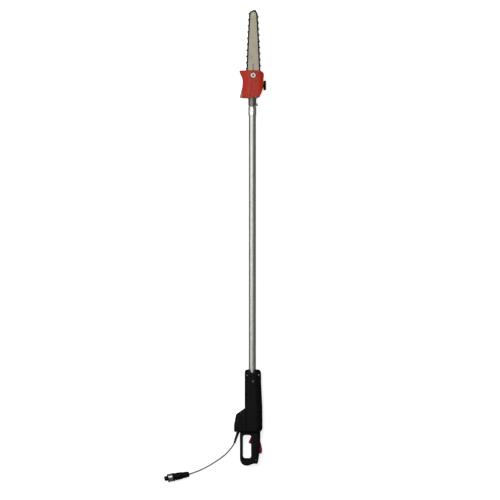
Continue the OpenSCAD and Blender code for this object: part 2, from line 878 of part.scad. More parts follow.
module bar_rivets() {
    color(bright_steel) at_pole() translate([0, 0, bar_z - bar_t / 2 - 0.3])
        translate([bar_x, nose_y, 0]) cylinder(r = 2, h = bar_t + 0.6, $fn = 32);
}

module nose_sprocket() {
    color(dark_steel) at_pole() translate([bar_x, nose_y, bar_z - 0.6]) difference() {
        star(nose_teeth, nose_path_r - tang_depth - gap, 4.6, 1.2);
        translate([0, 0, -1]) cylinder(r = 2 + fit, h = 4, $fn = 32);
    }
}

// ---------- Chain ----------

// The loop of rivets: up the right rail, round the nose, down the left rail, round the sprocket.
RAIL_PATH = [for (y = concat([rail_y0], [for (y = [taper_y:25:nose_y - 12]) y])) y];
rail_last = len(RAIL_PATH) - 1;
CHAIN_PATH = concat(
    [for (y = RAIL_PATH) [bar_x + bar_half(y) + rail_gap, y]],
    [for (a = [0:10:180]) [bar_x, nose_y] + nose_path_r * [cos(a), sin(a)]],
    [for (i = [rail_last:-1:0])
        [bar_x - bar_half(RAIL_PATH[i]) - rail_gap, RAIL_PATH[i]]],
    [for (a = [183:10.2:347]) [0, sprocket_y] + drive_path_r * [cos(a), sin(a)]]
);
path_count = len(CHAIN_PATH);

function path_point(i) = CHAIN_PATH[i % path_count];
function path_step(i) = norm(path_point(i + 1) - path_point(i));
PATH_LENGTHS = [for (i = 0, s = 0; i <= path_count; s = s + path_step(i), i = i + 1) s];
loop_length = PATH_LENGTHS[path_count];
rivet_count = 2 * link_count;
rivet_step = loop_length / rivet_count;
X_ALONG = [for (i = [0:path_count]) [PATH_LENGTHS[i], path_point(i)[0]]];
Y_ALONG = [for (i = [0:path_count]) [PATH_LENGTHS[i], path_point(i)[1]]];

function rivet_at(i) =
    let (s = (i % rivet_count) * rivet_step) [lookup(s, X_ALONG), lookup(s, Y_ALONG)];

// Local x runs from rivet i to the next one, and local y points out of the loop.
module on_chain(i) {
    a = rivet_at(i);
    d = rivet_at(i + 1) - a;
    translate([a[0], a[1], bar_z]) rotate(atan2(d[1], d[0])) mirror([0, 1, 0]) children();
}

function chain_step(i) = norm(rivet_at(i + 1) - rivet_at(i));

// A link's side: round ends at rivet i and the next one, a waist that clears the bar's nose, and a
// raised crown.
module link_shape(i) {
    translate([0, -strap_waist]) square([chain_step(i), strap_waist + strap_r]);
    polygon([
        [-1.2, 0], [0.4, strap_crown], [chain_step(i) - 0.4, strap_crown], [chain_step(i) + 1.2, 0]
    ]);
    for (x = [0, chain_step(i)]) translate([x, 0]) circle(r = strap_r, $fn = 24);
}

module rivet_holes(i) {
    for (x = [0, chain_step(i)]) translate([x, 0]) circle(r = rivet_r + fit, $fn = 24);
}

module chain_drive_links() {
    m = rivet_step / 2;
    color(dark_steel) at_pole() for (i = [0:2:rivet_count - 1]) on_chain(i)
        translate([0, 0, -link_t / 2]) linear_extrude(link_t) difference() {
            union() {
                link_shape(i);
                // The skirt that fills the bar's groove, and the tang below it.
                polygon([
                    [m - skirt_half, 0], [m - 5, -strap_r], [m - 3.9, -skirt_depth],
                    [m - 0.8, -tang_depth], [m + 1.4, -tang_depth], [m + 3.9, -skirt_depth],
                    [m + 5, -strap_r], [m + skirt_half, 0]
                ]);
            }
            rivet_holes(i);
        }
}

module strap(i, side) {
    translate([0, 0, side > 0 ? strap_z : -strap_z - strap_t]) linear_extrude(strap_t)
        difference() {
            link_shape(i);
            rivet_holes(i);
        }
}

module chain_tie_straps() {
    color([0.28, 0.27, 0.24]) at_pole() for (i = [1:2:rivet_count - 1]) on_chain(i)
        for (side = [-1, 1]) if (i % 4 == 1 || side != cutter_side(i)) strap(i, side);
}

// Cutters sit on every second pair of straps, on the left and the right in turn.
function cutter_side(i) = (i % 8 == 3) ? 1 : -1;

module chain_cutters() {
    color([0.30, 0.30, 0.28]) at_pole() for (i = [3:4:rivet_count - 1]) on_chain(i) {
        side = cutter_side(i);
        translate([0, 0, side > 0 ? strap_z : -strap_z - strap_t]) linear_extrude(strap_t)
            difference() {
                union() {
                    link_shape(i);
                    // Side plate of the tooth, behind its gullet and depth gauge.
                    polygon([[-2.5, 0], [-2.8, cutter_top], [4.2, cutter_top + 0.4], [3, 3], [3, 0]]);
                    polygon([[5.2, 0], [5.2, 4.8], [7, 5.6], [8.8, 2.8], [8.8, 0]]);
                }
                rivet_holes(i);
            }
        // Top plate, bent across the chain.
        translate([-2.8, cutter_top - 0.3, side > 0 ? -0.5 : -strap_z - strap_t - 1])
            rotate(3) cube([7, 0.9, strap_z + strap_t + 1.5]);
    }
}

module chain_rivets() {
    half = strap_z + strap_t + 0.25;
    color([0.45, 0.44, 0.40]) at_pole() for (i = [0:rivet_count - 1]) on_chain(i)
        translate([0, 0, -half]) cylinder(r = rivet_r, h = 2 * half, $fn = 24);
}

// ---------- Cover, clamp and tension screw ----------

COVER = [
    [-53.5, head_y1], [-53.5, 688], [-50, 679], [-45.5, 670], [-41.5, 661], [-40, 650],
    [-40.6, 636], [-42, 620], [-43.5, 580], [-15, 580.5], [20, 583.5], [32, 588.5], [38, 600],
    [42, 612],
    [45.8, 625], [46.2, 655], [48.5, 676], [46, 685], [37, 691], [27, head_y1]
];
// Section of the cover across the pole: the left side slopes down, the right is round-shouldered.
COVER_SECTION = [
    [-60, 14], [-60, 23], [-41, 26], [-14, 34], [38, 34], [45, 31], [50, 25], [50, 14]
];

module bar_cover() {
    color(red_plastic) at_pole() difference() {
        union() {
            difference() {
                cover_body(0);
                translate([0, 0, -0.01]) cover_body(cover_wall);
                // Mouth for the bar and the chain.
                translate([mouth_x0, head_y1 - 8, 13]) cube([mouth_x1 - mouth_x0, 20, 11]);
            }
            // Clamp boss that presses the bar against its pad.
            translate([bar_x, stud_y, bar_z + bar_t / 2]) cylinder(r = 9, h = 11.5);
        }
        translate([bar_x, stud_y, 10]) cylinder(r = stud_r + 0.3, h = 40, $fn = 32);
        translate([bar_x, stud_y, 32]) cylinder(r = nut_r + 0.6, h = 10);
        rod(neck_y0, neck_y1 + 0.5, neck_d / 2 + 0.2);
        translate([29, 661, 30.5]) cylinder(r = 2.6, h = 10, $fn = 32);
    }
}

module cover_body(inset) {
    intersection() {
        plan(COVER, 14, 40, inset);
        along_y(500) linear_extrude(300) mirror([0, 1]) translate([0, -inset])
            polygon(COVER_SECTION);
    }
}

module bar_stud() {
    color(dark_steel) at_pole() translate([bar_x, stud_y, 0]) difference() {
        union() {
            translate([0, 0, -2]) cylinder(r = stud_r, h = 38, $fn = 32);
            translate([0, 0, 35 + fit]) cylinder(r = stud_head_r, h = 2, $fn = 32);
        }
        translate([0, 0, 35.4]) cylinder(r = 2.5, h = 3, $fn = 6);
    }
}

module bar_nut() {
    color([0.92, 0.92, 0.90]) at_pole() translate([bar_x, stud_y, 32]) difference() {
        rotate_extrude() polygon([
            [0, 0], [nut_r, 0], [nut_r, 1.6], [10.2, 4.6], [7.4, 5.4], [0, 5.4]
        ]);
        translate([0, 0, -1]) cylinder(r = stud_r + fit, h = 8, $fn = 32);
        translate([0, 0, 3]) cylinder(r = stud_head_r + fit, h = 4, $fn = 32);
    }
}

module tension_screw() {
    color(bright_steel) at_pole() translate([tension_x, 0, tension_z]) difference() {
        rod(657, 693, tension_screw_r);
        translate([-3, 692, -0.4]) cube([6, 2, 0.8]);
    }
}

// The peg that the screw moves along, with its pin in the bar's small hole.
module tension_peg() {
    color(bright_steel) at_pole() difference() {
        union() {
            translate([-25.5, peg_y - 4, 5]) cube([9, 8, 7]);
            translate([-18, peg_y - 3, 7]) cube([peg_x + 18, 6, 5]);
            translate([peg_x, peg_y, 7]) cylinder(r = 2.4, h = bar_z + bar_t / 2 - 7, $fn = 32);
        }
        translate([tension_x, 0, tension_z]) rod(650, 700, tension_screw_r + fit);
    }
}

// ---------- Oil system ----------

TANK = [[29, 603], [36, 603], [46, 622], [46, 662], [42, 674], [29, 674]];

module oil_tank() {
    color(red_plastic) at_pole() difference() {
        plan(TANK, tank_z0, tank_z1);
        plan(TANK, tank_z0 + cover_wall, tank_z1 - cover_wall, cover_wall);
        along_x(40) translate([-cap_z, cap_y, 0]) cylinder(r = cap_neck_r, h = 10);
    }
}

module oil_cap() {
    color(black_plastic) at_pole() along_x(cap_x0) translate([-cap_z, cap_y, 0]) {
        h = cap_x1 - cap_x0;
        rotate_extrude() polygon([
            [0, 0], [cap_d / 2 - 1, 0], [cap_d / 2, 1], [cap_d / 2, h - 3.5],
            [cap_d / 2 - 3, h], [0, h]
        ]);
        translate([0, 0, -8]) cylinder(r = cap_neck_r - gap, h = 8);
    }
}

module oil_pump() {
    color(bright_steel) at_pole() translate([pump_at[0], pump_at[1], -22]) {
        cylinder(r = pump_r, h = 24);
        translate([0, 0, 6]) along_x() cylinder(r = 2, h = 8.5);
    }
}

// ---------- Cord and plug ----------

module cord() {
    sides = 10;
    last = len(CORD_ROUTE) - 1;
    color([0.60, 0.60, 0.60]) translate([pole_x, 0, 0]) polyhedron(
        points = [for (i = [0:last], k = [0:sides - 1]) ring_point(i, last, k * 360 / sides)],
        faces = concat(
            [[for (k = [0:sides - 1]) k]],
            [for (i = [0:last - 1], k = [0:sides - 1]) [
                i * sides + k, (i + 1) * sides + k,
                (i + 1) * sides + (k + 1) % sides, i * sides + (k + 1) % sides
            ]],
            [[for (k = [sides - 1:-1:0]) last * sides + k]]
        )
    );
}

// A point of the cord's surface at route point i, at the given angle around it.
function ring_point(i, last, angle) =
    let (
        d = CORD_ROUTE[min(i + 1, last)] - CORD_ROUTE[max(i - 1, 0)],
        side = cross(d, [0, 0, 1]) / norm(cross(d, [0, 0, 1])),
        up = cross(side, d) / norm(d)
    )
    CORD_ROUTE[i] + cord_d / 2 * (cos(angle) * side + sin(angle) * up);

module strain_relief() {
    long = norm(relief_end - cord_exit);
    color(black_plastic) translate([pole_x, 0, 0]) aim(cord_exit, relief_end) difference() {
        rotate_extrude() polygon([
            [0, -9], [9.5, -9], [9.5, -6], [7, -6], [7, 4], [6.6, 6], [6.6, 12], [5.8, 13],
            [6.3, 14], [6.3, 19], [5.5, 20], [6, 21], [6, 26], [5.2, 27], [5.7, 28], [5.7, 33],
            [4.9, 34], [5.4, 35], [5.2, long - 2], [4.6, long], [0, long]
        ]);
        translate([0, 0, -20]) cylinder(r = cord_d / 2 + 0.2, h = 100);
    }
}

module at_plug() {
    translate([pole_x, 0, 0]) aim(plug_rear, plug_tip) children();
}

module plug_body() {
    color(black_plastic) at_plug() difference() {
        rotate_extrude() polygon([
            [0, 0], [8, 0], [9, 1], [9, 4], [12, 7], [13, 9], [13, 22], [12, 24], [12, 27],
            [14, 31], [15.5, 36], [15.5, 60], [12, 60], [12, 64], [0, 64]
        ]);
        translate([0, 0, -1]) cylinder(r = cord_d / 2 + 0.25, h = 20);
    }
}

module plug_ring() {
    r = plug_ring_d / 2;
    color(bright_steel) at_plug() difference() {
        rotate_extrude() polygon([
            [12.5, 61], [r - 1.5, 61], [r - 1.5, 70], [r, 71], [r, 76], [r - 1.6, 77],
            [r - 1.6, 84], [r, 85], [r, 90], [r - 1.5, 91], [12.5, 91]
        ]);
        for (a = [0:30:330]) rotate(a) translate([r + 0.4, 0, 62]) cylinder(r = 1, h = 7, $fn = 16);
    }
}

module plug_insert() {
    color(black_plastic) at_plug() difference() {
        rotate_extrude() polygon([
            [0, 64], [12, 64], [12, 92], [10, 94], [10, 102], [8.5, 105], [0, 105]
        ]);
        for (a = [0:120:240]) rotate(a) translate([4.6, 0, 93]) cylinder(r = 1.4, h = 20, $fn = 24);
    }
}

// ---------- Assembly ----------

housing_lower_shell();
housing_upper_shell();
housing_screws();
outer_tube();
tube_socket();
motor_can();
motor_magnets();
motor_end_bell();
motor_brushes();
motor_bearings();
motor_mount_rings();
lever_pins();
lever_springs();
trigger_switch();
control_board();
board_parts();
collet();
motor_shaft();
armature();
commutator();
shaft_coupler();
lower_drive_shaft();
shaft_bush();
trigger();
switch_plunger();
lock_lever();
lock_collar();
inner_tube();
tube_guide();
gearcase();
gearcase_cover();
head_screws();
guide_bar_plates();
guide_bar_core();
bar_rivets();
chain_drive_links();
chain_tie_straps();
chain_cutters();
chain_rivets();
bar_stud();
bar_nut();
bar_cover();
tension_screw();
tension_peg();
oil_tank();
oil_pump();
head_bearings();
upper_drive_shaft();
bevel_pinion();
bevel_gear();
sprocket_shaft();
drive_sprocket();
nose_sprocket();
oil_cap();
cord();
strain_relief();
plug_body();
plug_ring();
plug_insert();
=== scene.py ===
"""Looks of the telescoping pole saw: its camera, studio, materials, cord, plug and moulded or cast pieces.

Lengths in the shape code are millimetres from the pole's axis: x to the right, y along the pole towards
the saw, z up. The mesh builders turn them into metres in the row frame.
"""
import json
import math

import bmesh
import bpy
from mathutils import Matrix, Vector
from mathutils.geometry import delaunay_2d_cdt


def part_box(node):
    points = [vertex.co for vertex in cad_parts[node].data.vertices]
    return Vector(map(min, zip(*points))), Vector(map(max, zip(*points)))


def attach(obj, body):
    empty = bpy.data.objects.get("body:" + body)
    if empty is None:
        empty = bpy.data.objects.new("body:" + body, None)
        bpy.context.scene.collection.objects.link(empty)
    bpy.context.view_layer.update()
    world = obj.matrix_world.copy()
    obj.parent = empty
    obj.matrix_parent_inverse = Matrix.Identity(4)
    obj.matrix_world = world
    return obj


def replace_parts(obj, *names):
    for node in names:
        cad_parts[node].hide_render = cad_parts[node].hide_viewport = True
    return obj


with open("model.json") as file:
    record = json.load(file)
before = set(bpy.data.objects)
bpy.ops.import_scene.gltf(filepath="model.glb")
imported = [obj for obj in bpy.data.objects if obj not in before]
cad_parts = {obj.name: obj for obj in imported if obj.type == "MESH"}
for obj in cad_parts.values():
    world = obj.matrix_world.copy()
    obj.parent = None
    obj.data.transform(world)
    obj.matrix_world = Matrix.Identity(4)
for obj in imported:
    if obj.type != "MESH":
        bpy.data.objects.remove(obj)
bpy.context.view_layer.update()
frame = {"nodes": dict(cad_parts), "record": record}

MM = 0.001
tube_low, tube_high = (Vector(corner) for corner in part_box("outer_tube"))
POLE = Vector(((tube_low.x + tube_high.x) / 2, 0, (tube_low.z + tube_high.z) / 2))


# ---------- Camera, cord, floor and light ----------

def make_camera():
    """Straight above the tool, with the saw at the top of the picture."""
    data = bpy.data.cameras.new("camera")
    data.lens = 300
    data.sensor_width = 36
    picture_width = 2.075
    view_x, view_y = 0.0, -0.0504
    camera = bpy.data.objects.new("camera", data)
    camera.location = (view_x, view_y, POLE.z + picture_width * data.lens / data.sensor_width)
    bpy.context.collection.objects.link(camera)
    bpy.context.scene.camera = camera


make_camera()

# The route that part.scad gives: x from the pole's axis, y, and height above the floor.
CORD_ROUTE = [
    (-54, -791, 38), (-58, -803, 36), (-66, -827, 32), (-74, -851, 28), (-84, -868, 24),
    (-96, -883, 19), (-109, -897, 14), (-123, -909, 9.5), (-138, -919.8, 6), (-154, -930.8, 4.2),
    (-171, -941.6, 3.6), (-188, -951.4, 3.6), (-205, -960.2, 4), (-222, -967.6, 5.6),
    (-238, -973.6, 8.6), (-252, -978.5, 11.6), (-262, -981.4, 13.5), (-275, -983.9, 14.4),
]
CORD_EXIT = CORD_ROUTE[1]
RELIEF_END = CORD_ROUTE[3]
PLUG_REAR = CORD_ROUTE[16]
PLUG_TIP = (-366, -1001, 20.5)
CORD_DIAMETER = 6.5


def on_floor(point):
    """A point of the cord's route in metres in the row frame."""
    x, y, z = point
    return Vector((POLE.x + x * MM, y * MM, z * MM))


def from_axis(point):
    """A point of the cord's route in millimetres from the pole's axis."""
    x, y, z = point
    return Vector((x, y, z - POLE.z / MM))


def make_cord():
    data = bpy.data.curves.new("supply_cord", "CURVE")
    data.dimensions = "3D"
    data.bevel_depth = CORD_DIAMETER / 2 * MM
    data.bevel_resolution = 7
    data.resolution_u = 10
    data.use_fill_caps = True
    spline = data.splines.new("BEZIER")
    spline.bezier_points.add(len(CORD_ROUTE) - 1)
    for knot, point in zip(spline.bezier_points, CORD_ROUTE):
        knot.co = on_floor(point)
        knot.handle_left_type = knot.handle_right_type = "AUTO"
    cord = bpy.data.objects.new("supply_cord", data)
    bpy.context.collection.objects.link(cord)
    return cord


supply_cord = make_cord()


def make_studio():
    """A white sweep under soft boxes, with a dim grey room around them."""
    bpy.ops.mesh.primitive_plane_add(size=30)
    floor = bpy.context.object
    floor.name = "floor"
    floor.visible_glossy = False
    material = bpy.data.materials.new("floor_paper")
    material.use_nodes = True
    shader = material.node_tree.nodes["Principled BSDF"]
    shader.inputs["Base Color"].default_value = (0.9, 0.9, 0.9, 1)
    shader.inputs["Roughness"].default_value = 0.9
    shader.inputs["Emission Color"].default_value = (1, 1, 1, 1)
    shader.inputs["Emission Strength"].default_value = 0.8
    floor.data.materials.append(material)
    world = bpy.data.worlds.new("studio")
    world.use_nodes = True
    world.node_tree.nodes["Background"].inputs["Color"].default_value = (0.92, 0.95, 1, 1)
    world.node_tree.nodes["Background"].inputs["Strength"].default_value = 0.10
    bpy.context.scene.world = world
    lamps = [
        ("key", (-2.7, 0.6, 2.1), (1.2, 3.2), 30),
        ("fill", (2.2, 0.0, 2.2), (1.0, 3.6), 4),
        ("top", (-0.66, 0.9, 3.2), (1.0, 2.8), 43),
    ]
    for name, location, size, power in lamps:
        light = bpy.data.lights.new(name, "AREA")
        light.shape = "RECTANGLE"
        light.size, light.size_y = size
        light.energy = power
        lamp = bpy.data.objects.new(name, light)
        lamp.location = location
        lamp.rotation_euler = (0, math.atan2(location[0], location[2]), 0)
        bpy.context.collection.objects.link(lamp)
    view = bpy.context.scene.view_settings
    view.view_transform = "Standard"


make_studio()


# ---------- Materials ----------

class Nodes:
    """A node material under construction, with short ways to add and link its nodes."""

    def __init__(self, name):
        self.material = bpy.data.materials.new(name)
        self.material.use_nodes = True
        self.tree = self.material.node_tree
        self.shader = self.tree.nodes["Principled BSDF"]
        self.place = self.tree.nodes.new("ShaderNodeTexCoord").outputs["Object"]

    def add(self, kind, inputs=None, **settings):
        node = self.tree.nodes.new("ShaderNode" + kind)
        for key, value in settings.items():
            setattr(node, key, value)
        for key, value in (inputs or {}).items():
            if isinstance(value, bpy.types.NodeSocket):
                self.tree.links.new(value, node.inputs[key])
            else:
                node.inputs[key].default_value = value
        return node

    def set(self, **values):
        """Shader inputs: a number or colour is set on the socket itself, an output is linked."""
        for key, value in values.items():
            socket = self.shader.inputs[key.replace("_", " ")]
            if isinstance(value, bpy.types.NodeSocket):
                self.tree.links.new(value, socket)
            elif isinstance(value, tuple):
                socket.default_value = (*value, 1)
            else:
                socket.default_value = value

    def noise(self, scale, stretch=(1, 1, 1), detail=4):
        mapped = self.add("Mapping", {"Vector": self.place, "Scale": stretch})
        return self.add("TexNoise", {
            "Vector": mapped.outputs[0], "Scale": scale, "Detail": detail, "Roughness": 0.6,
        }).outputs["Fac"]

    def span(self, fac, low, high, start=0.3, end=0.7):
        """The factor's middle stretch, spread from low to high."""
        return self.add("MapRange", {
            "Value": fac, "From Min": start, "From Max": end, "To Min": low, "To Max": high,
        }).outputs[0]

    def mix(self, fac, a, b):
        node = self.add("Mix", data_type="RGBA")
        for socket, value in ((node.inputs[0], fac), (node.inputs[6], a), (node.inputs[7], b)):
            if isinstance(value, bpy.types.NodeSocket):
                self.tree.links.new(value, socket)
            elif isinstance(value, tuple):
                socket.default_value = (*value, 1)
            else:
                socket.default_value = value
        return node.outputs[2]

    def bump(self, height, strength, distance):
        return self.add("Bump", {
            "Height": height, "Strength": strength, "Distance": distance,
        }).outputs[0]


def shade(colour, factor):
    return tuple(min(1, channel * factor) for channel in colour)


def moulded(name, colour, rough, grain=900, depth=0.00012, dust=0.0, coat=0.0, gloss=0.5):
    """Moulded plastic: a fine sparked texture, slow changes of tone and a little dust."""
    m = Nodes(name)
    tone = m.mix(m.noise(14), shade(colour, 0.8), shade(colour, 1.2))
    if dust:
        tone = m.mix(m.span(m.noise(35, detail=8), 0, dust, 0.5, 0.8), tone, (0.32, 0.30, 0.27))
    m.set(Base_Color=tone, Roughness=m.span(m.noise(60), rough - 0.06, rough + 0.08))
    m.set(Specular_IOR_Level=gloss)
    m.set(Normal=m.bump(m.noise(grain, detail=2), 0.35, depth))
    if coat:
        m.set(Coat_Weight=coat, Coat_Roughness=0.12)
    return m.material


def metal(name, colour, rough, stretch=(1, 1, 1), grain=400, depth=0.00004, stain=(0.5, 0.0)):
    """Metal with fine marks drawn out along the axes with a low stretch, and a faint stain."""
    m = Nodes(name)
    marks = m.noise(grain, stretch)
    tone = m.mix(m.span(marks, 0, 1), shade(colour, 0.86), shade(colour, 1.1))
    darkness, amount = stain
    if amount:
        patches = m.span(m.noise(26, detail=7), 0, amount, 0.5, 0.72)
        tone = m.mix(patches, tone, shade(colour, darkness))
    m.set(Base_Color=tone, Metallic=1.0)
    m.set(Roughness=m.span(marks, rough - 0.06, rough + 0.1))
    m.set(Normal=m.bump(marks, 0.3, depth))
    return m.material


def screw_steel_with_painted_shade(name, colour, deep):
    """Screw heads in bright zinc near both ends of the housing, and painted dark between them as painted
    shade for their deep recesses.
    """
    m = Nodes(name)
    y = m.add("SeparateXYZ", {0: m.place}).outputs["Y"]
    middle = m.add("Math", {0: y, 1: 0.73}, operation="ADD").outputs[0]
    away = m.add("Math", {0: middle}, operation="ABSOLUTE").outputs[0]
    marks = m.noise(300)
    # Painted shade: heads within about 9 cm of the housing's middle, which sit deep in their recesses,
    # take the dark colour instead of zinc.
    tone = m.mix(m.span(away, 0, 1, 0.09, 0.12), deep, colour)
    # The dark colour is also mixed in as random dark marks on every head.
    m.set(Base_Color=m.mix(m.span(marks, 0, 0.25), tone, deep), Metallic=1.0)
    m.set(Roughness=m.span(marks, 0.3, 0.46), Normal=m.bump(marks, 0.3, 0.00004))
    return m.material


def cast_paint(name, colour):
    """Cast metal under thin paint, worn to bare metal on its edges."""
    m = Nodes(name)
    edges = m.add("NewGeometry").outputs["Pointiness"]
    worn = m.add("Math", {0: edges, 1: m.span(m.noise(120, detail=6), -0.03, 0.03)}, operation="ADD")
    worn = m.span(worn.outputs[0], 0, 1, 0.535, 0.57)
    tone = m.mix(m.noise(30), shade(colour, 0.75), shade(colour, 1.25))
    m.set(Base_Color=m.mix(worn, tone, (0.33, 0.32, 0.28)))
    m.set(Metallic=m.span(worn, 0.8, 0.95, 0, 1), Roughness=m.span(m.noise(90), 0.36, 0.52))
    m.set(Normal=m.bump(m.noise(330, detail=6), 0.5, 0.0003))
    return m.material


BLACK = (0.0036, 0.0036, 0.0038)
RED = (0.55, 0.026, 0.006)
CRIMSON = (0.30, 0.002, 0.026)
ALUMINIUM = (0.66, 0.645, 0.585)
STEEL = (0.62, 0.61, 0.58)
ALONG = (1, 0.03, 1)

LOOKS = {
    "black_plastic": moulded("black_plastic", BLACK, 0.5, dust=0.008, gloss=0.15),
    "red_plastic": moulded("red_plastic", RED, 0.27, grain=260, depth=0.00004, gloss=0.28),
    "crimson_plastic": moulded("crimson_plastic", CRIMSON, 0.36, grain=500, depth=0.00004, gloss=0.25),
    "tube_aluminium": metal("tube_aluminium", ALUMINIUM, 0.44, ALONG, 500, 0.00002, (0.82, 0.5)),
    "cast_alloy": cast_paint("cast_alloy", (0.21, 0.20, 0.18)),
    "collar_aluminium": metal("collar_aluminium", (0.80, 0.78, 0.71), 0.3, ALONG, 500, 0.00002),
    "bar_steel": metal("bar_steel", (0.325, 0.30, 0.23), 0.42, ALONG, 700, 0.00005, (0.6, 0.5)),
    "chain_steel": metal("chain_steel", (0.015, 0.0135, 0.0105), 0.4, (1, 1, 1), 500, 0.00006, (2.0, 0.4)),
    "bright_steel": metal("bright_steel", (0.62, 0.62, 0.60), 0.26, (1, 1, 1), 300),
    # Zinc screws, with painted shade on the deep-set heads in the middle of the housing.
    "zinc_screw_painted_shade": screw_steel_with_painted_shade("zinc_screw_painted_shade", (0.20, 0.20, 0.21), (0.012, 0.012, 0.012)),
    "plated_nut": metal("plated_nut", (0.86, 0.83, 0.74), 0.5, (1, 1, 1), 300),
    "machined_steel": metal("machined_steel", STEEL, 0.28, (1, 1, 1), 600, 0.00003, (0.6, 0.3)),
    "dark_steel": metal("dark_steel", (0.06, 0.06, 0.06), 0.4, (1, 1, 1), 400),
    "magnet": metal("magnet", (0.10, 0.10, 0.105), 0.55, (1, 1, 1), 300, 0.0001),
    "copper": metal("copper", (0.72, 0.33, 0.19), 0.3, (1, 0.05, 1), 900, 0.0001, (0.6, 0.4)),
    "brass": metal("brass", (0.72, 0.53, 0.24), 0.3, (1, 1, 1), 400),
    "bearing_plastic": moulded("bearing_plastic", (0.52, 0.52, 0.50), 0.4),
    "circuit_board": moulded("circuit_board", (0.015, 0.13, 0.045), 0.3, coat=0.3),
    "rubber": moulded("rubber", (0.017, 0.017, 0.017), 0.6, grain=700, dust=0.05),
    "cord_grey": moulded("cord_grey", (0.29, 0.29, 0.285), 0.42, grain=500, dust=0.03),
}


# ---------- Mesh building ----------

def rounded(points, radius, steps=5):
    """The outline with each corner rounded, by one radius or by a list of them."""
    out = []
    count = len(points)
    for i, point in enumerate(points):
        r = radius[i] if isinstance(radius, (list, tuple)) else radius
        here = Vector(point)
        before = (Vector(points[i - 1]) - here)
        after = (Vector(points[(i + 1) % count]) - here)
        reach = min(r, before.length * 0.48, after.length * 0.48)
        if reach < 0.05:
            out.append(tuple(here))
            continue
        a, b = here + before.normalized() * reach, here + after.normalized() * reach
        for k in range(steps + 1):
            t = k / steps
            out.append(tuple(a.lerp(here, t).lerp(here.lerp(b, t), t)))
    return out


def area(points):
    return sum(a[0] * b[1] - b[0] * a[1] for a, b in zip(points, points[1:] + points[:1])) / 2


def inset(points, distance):
    """The outline moved inwards by the distance."""
    out = []
    turn = 1 if area(points) > 0 else -1
    count = len(points)
    for i in range(count):
        here = Vector(points[i])
        a = (here - Vector(points[i - 1])).normalized()
        b = (Vector(points[(i + 1) % count]) - here).normalized()
        normal = Vector((-(a + b).y, (a + b).x)).normalized() * turn
        stretch = max(0.5, normal.dot(Vector((-a.y, a.x)) * turn))
        out.append(tuple(here + normal * distance / stretch))
    return out


class Shape:
    """Vertices in millimetres from the pole's axis, and faces."""

    def __init__(self):
        self.verts = []
        self.faces = []

    def add(self, verts, faces, matrix=None):
        first = len(self.verts)
        self.verts += [matrix @ Vector(v) if matrix else Vector(v) for v in verts]
        self.faces += [tuple(first + i for i in face) for face in faces]
        return self

    def loft(self, rings, matrix=None, closed=False):
        """Rings of equal length joined in turn, with both ends capped or the last joined to the first."""
        n = len(rings[0])
        verts = [v for ring in rings for v in ring]
        pairs = len(rings) if closed else len(rings) - 1
        faces = []
        for i in range(pairs):
            j = (i + 1) % len(rings)
            for k in range(n):
                m = (k + 1) % n
                faces.append((i * n + k, i * n + m, j * n + m, j * n + k))
        if not closed:
            faces.append(tuple(reversed(range(n))))
            faces.append(tuple((len(rings) - 1) * n + k for k in range(n)))
        return self.add(verts, faces, matrix)

    def block(self, low, high):
        (x0, y0, z0), (x1, y1, z1) = low, high
        corners = [(x0, y0), (x1, y0), (x1, y1), (x0, y1)]
        return self.loft([[(x, y, z) for x, y in corners] for z in (z0, z1)])

    def turned(self, profile, matrix=None, sides=64, wave=None):
        """A profile of (height, radius) turned about local z. wave(height, angle) adds to the radius."""
        rings = []
        for height, radius in profile:
            ring = []
            for k in range(sides):
                a = 2 * math.pi * k / sides
                r = max(0.01, radius + (wave(height, a) if wave and radius > 0.1 else 0))
                ring.append((r * math.cos(a), r * math.sin(a), height))
            rings.append(ring)
        return self.loft(rings, matrix)

    def pipe(self, profile, matrix=None, sides=64, wave=None):
        """A closed profile of (height, radius) turned about local z into a ring."""
        rings = []
        for k in range(sides):
            a = 2 * math.pi * k / sides
            ring = []
            for height, radius in profile:
                r = radius + (wave(height, a, radius) if wave else 0)
                ring.append((r * math.cos(a), r * math.sin(a), height))
            rings.append(ring)
        return self.loft(rings, matrix, closed=True)


def along_y(x=0, y=0, z=0):
    """Local z points along the pole, towards the saw."""
    return Matrix.Translation((x, y, z)) @ Matrix.Rotation(math.radians(-90), 4, "X")


def along_x(x=0, y=0, z=0):
    return Matrix.Translation((x, y, z)) @ Matrix.Rotation(math.radians(90), 4, "Y")


def along(start, end):
    """Local z points from start to end."""
    start, end = Vector(start), Vector(end)
    return Matrix.Translation(start) @ (end - start).to_track_quat("Z", "Y").to_matrix().to_4x4()


def piece(name, shape, body, slot, smooth=40):
    """An object from a shape, riding on a body, with the look of its material slot."""
    obj = raw(name, shape)
    finish_piece(obj, body, slot, smooth)
    return obj


def finish_piece(obj, body, slot, smooth):
    obj.data.materials.clear()
    obj.data.materials.append(LOOKS[slot])
    obj.data.shade_smooth()
    obj.data.set_sharp_from_angle(angle=math.radians(smooth))
    if body:
        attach(obj, body)


def tidy(obj):
    """One closed skin with its normals outwards."""
    bm = bmesh.new()
    bm.from_mesh(obj.data)
    bmesh.ops.remove_doubles(bm, verts=bm.verts, dist=0.5e-6)
    bmesh.ops.recalc_face_normals(bm, faces=bm.faces)
    bm.to_mesh(obj.data)
    bm.free()


def settle(obj):
    """Makes the modifiers' result the object's own mesh."""
    graph = bpy.context.evaluated_depsgraph_get()
    mesh = bpy.data.meshes.new_from_object(obj.evaluated_get(graph))
    obj.modifiers.clear()
    obj.data = mesh


def raw(name, shape):
    """A shape as an object in the row frame."""
    mesh = bpy.data.meshes.new(name)
    mesh.from_pydata([POLE + v * MM for v in shape.verts], [], shape.faces)
    obj = bpy.data.objects.new(name, mesh)
    bpy.context.collection.objects.link(obj)
    tidy(obj)
    return obj


def boolean(obj, shape, operation="DIFFERENCE"):
    tool = raw("tool", shape)
    modifier = obj.modifiers.new("cut", "BOOLEAN")
    modifier.operation = operation
    modifier.solver = "MANIFOLD"
    modifier.object = tool
    settle(obj)
    bpy.data.objects.remove(tool)


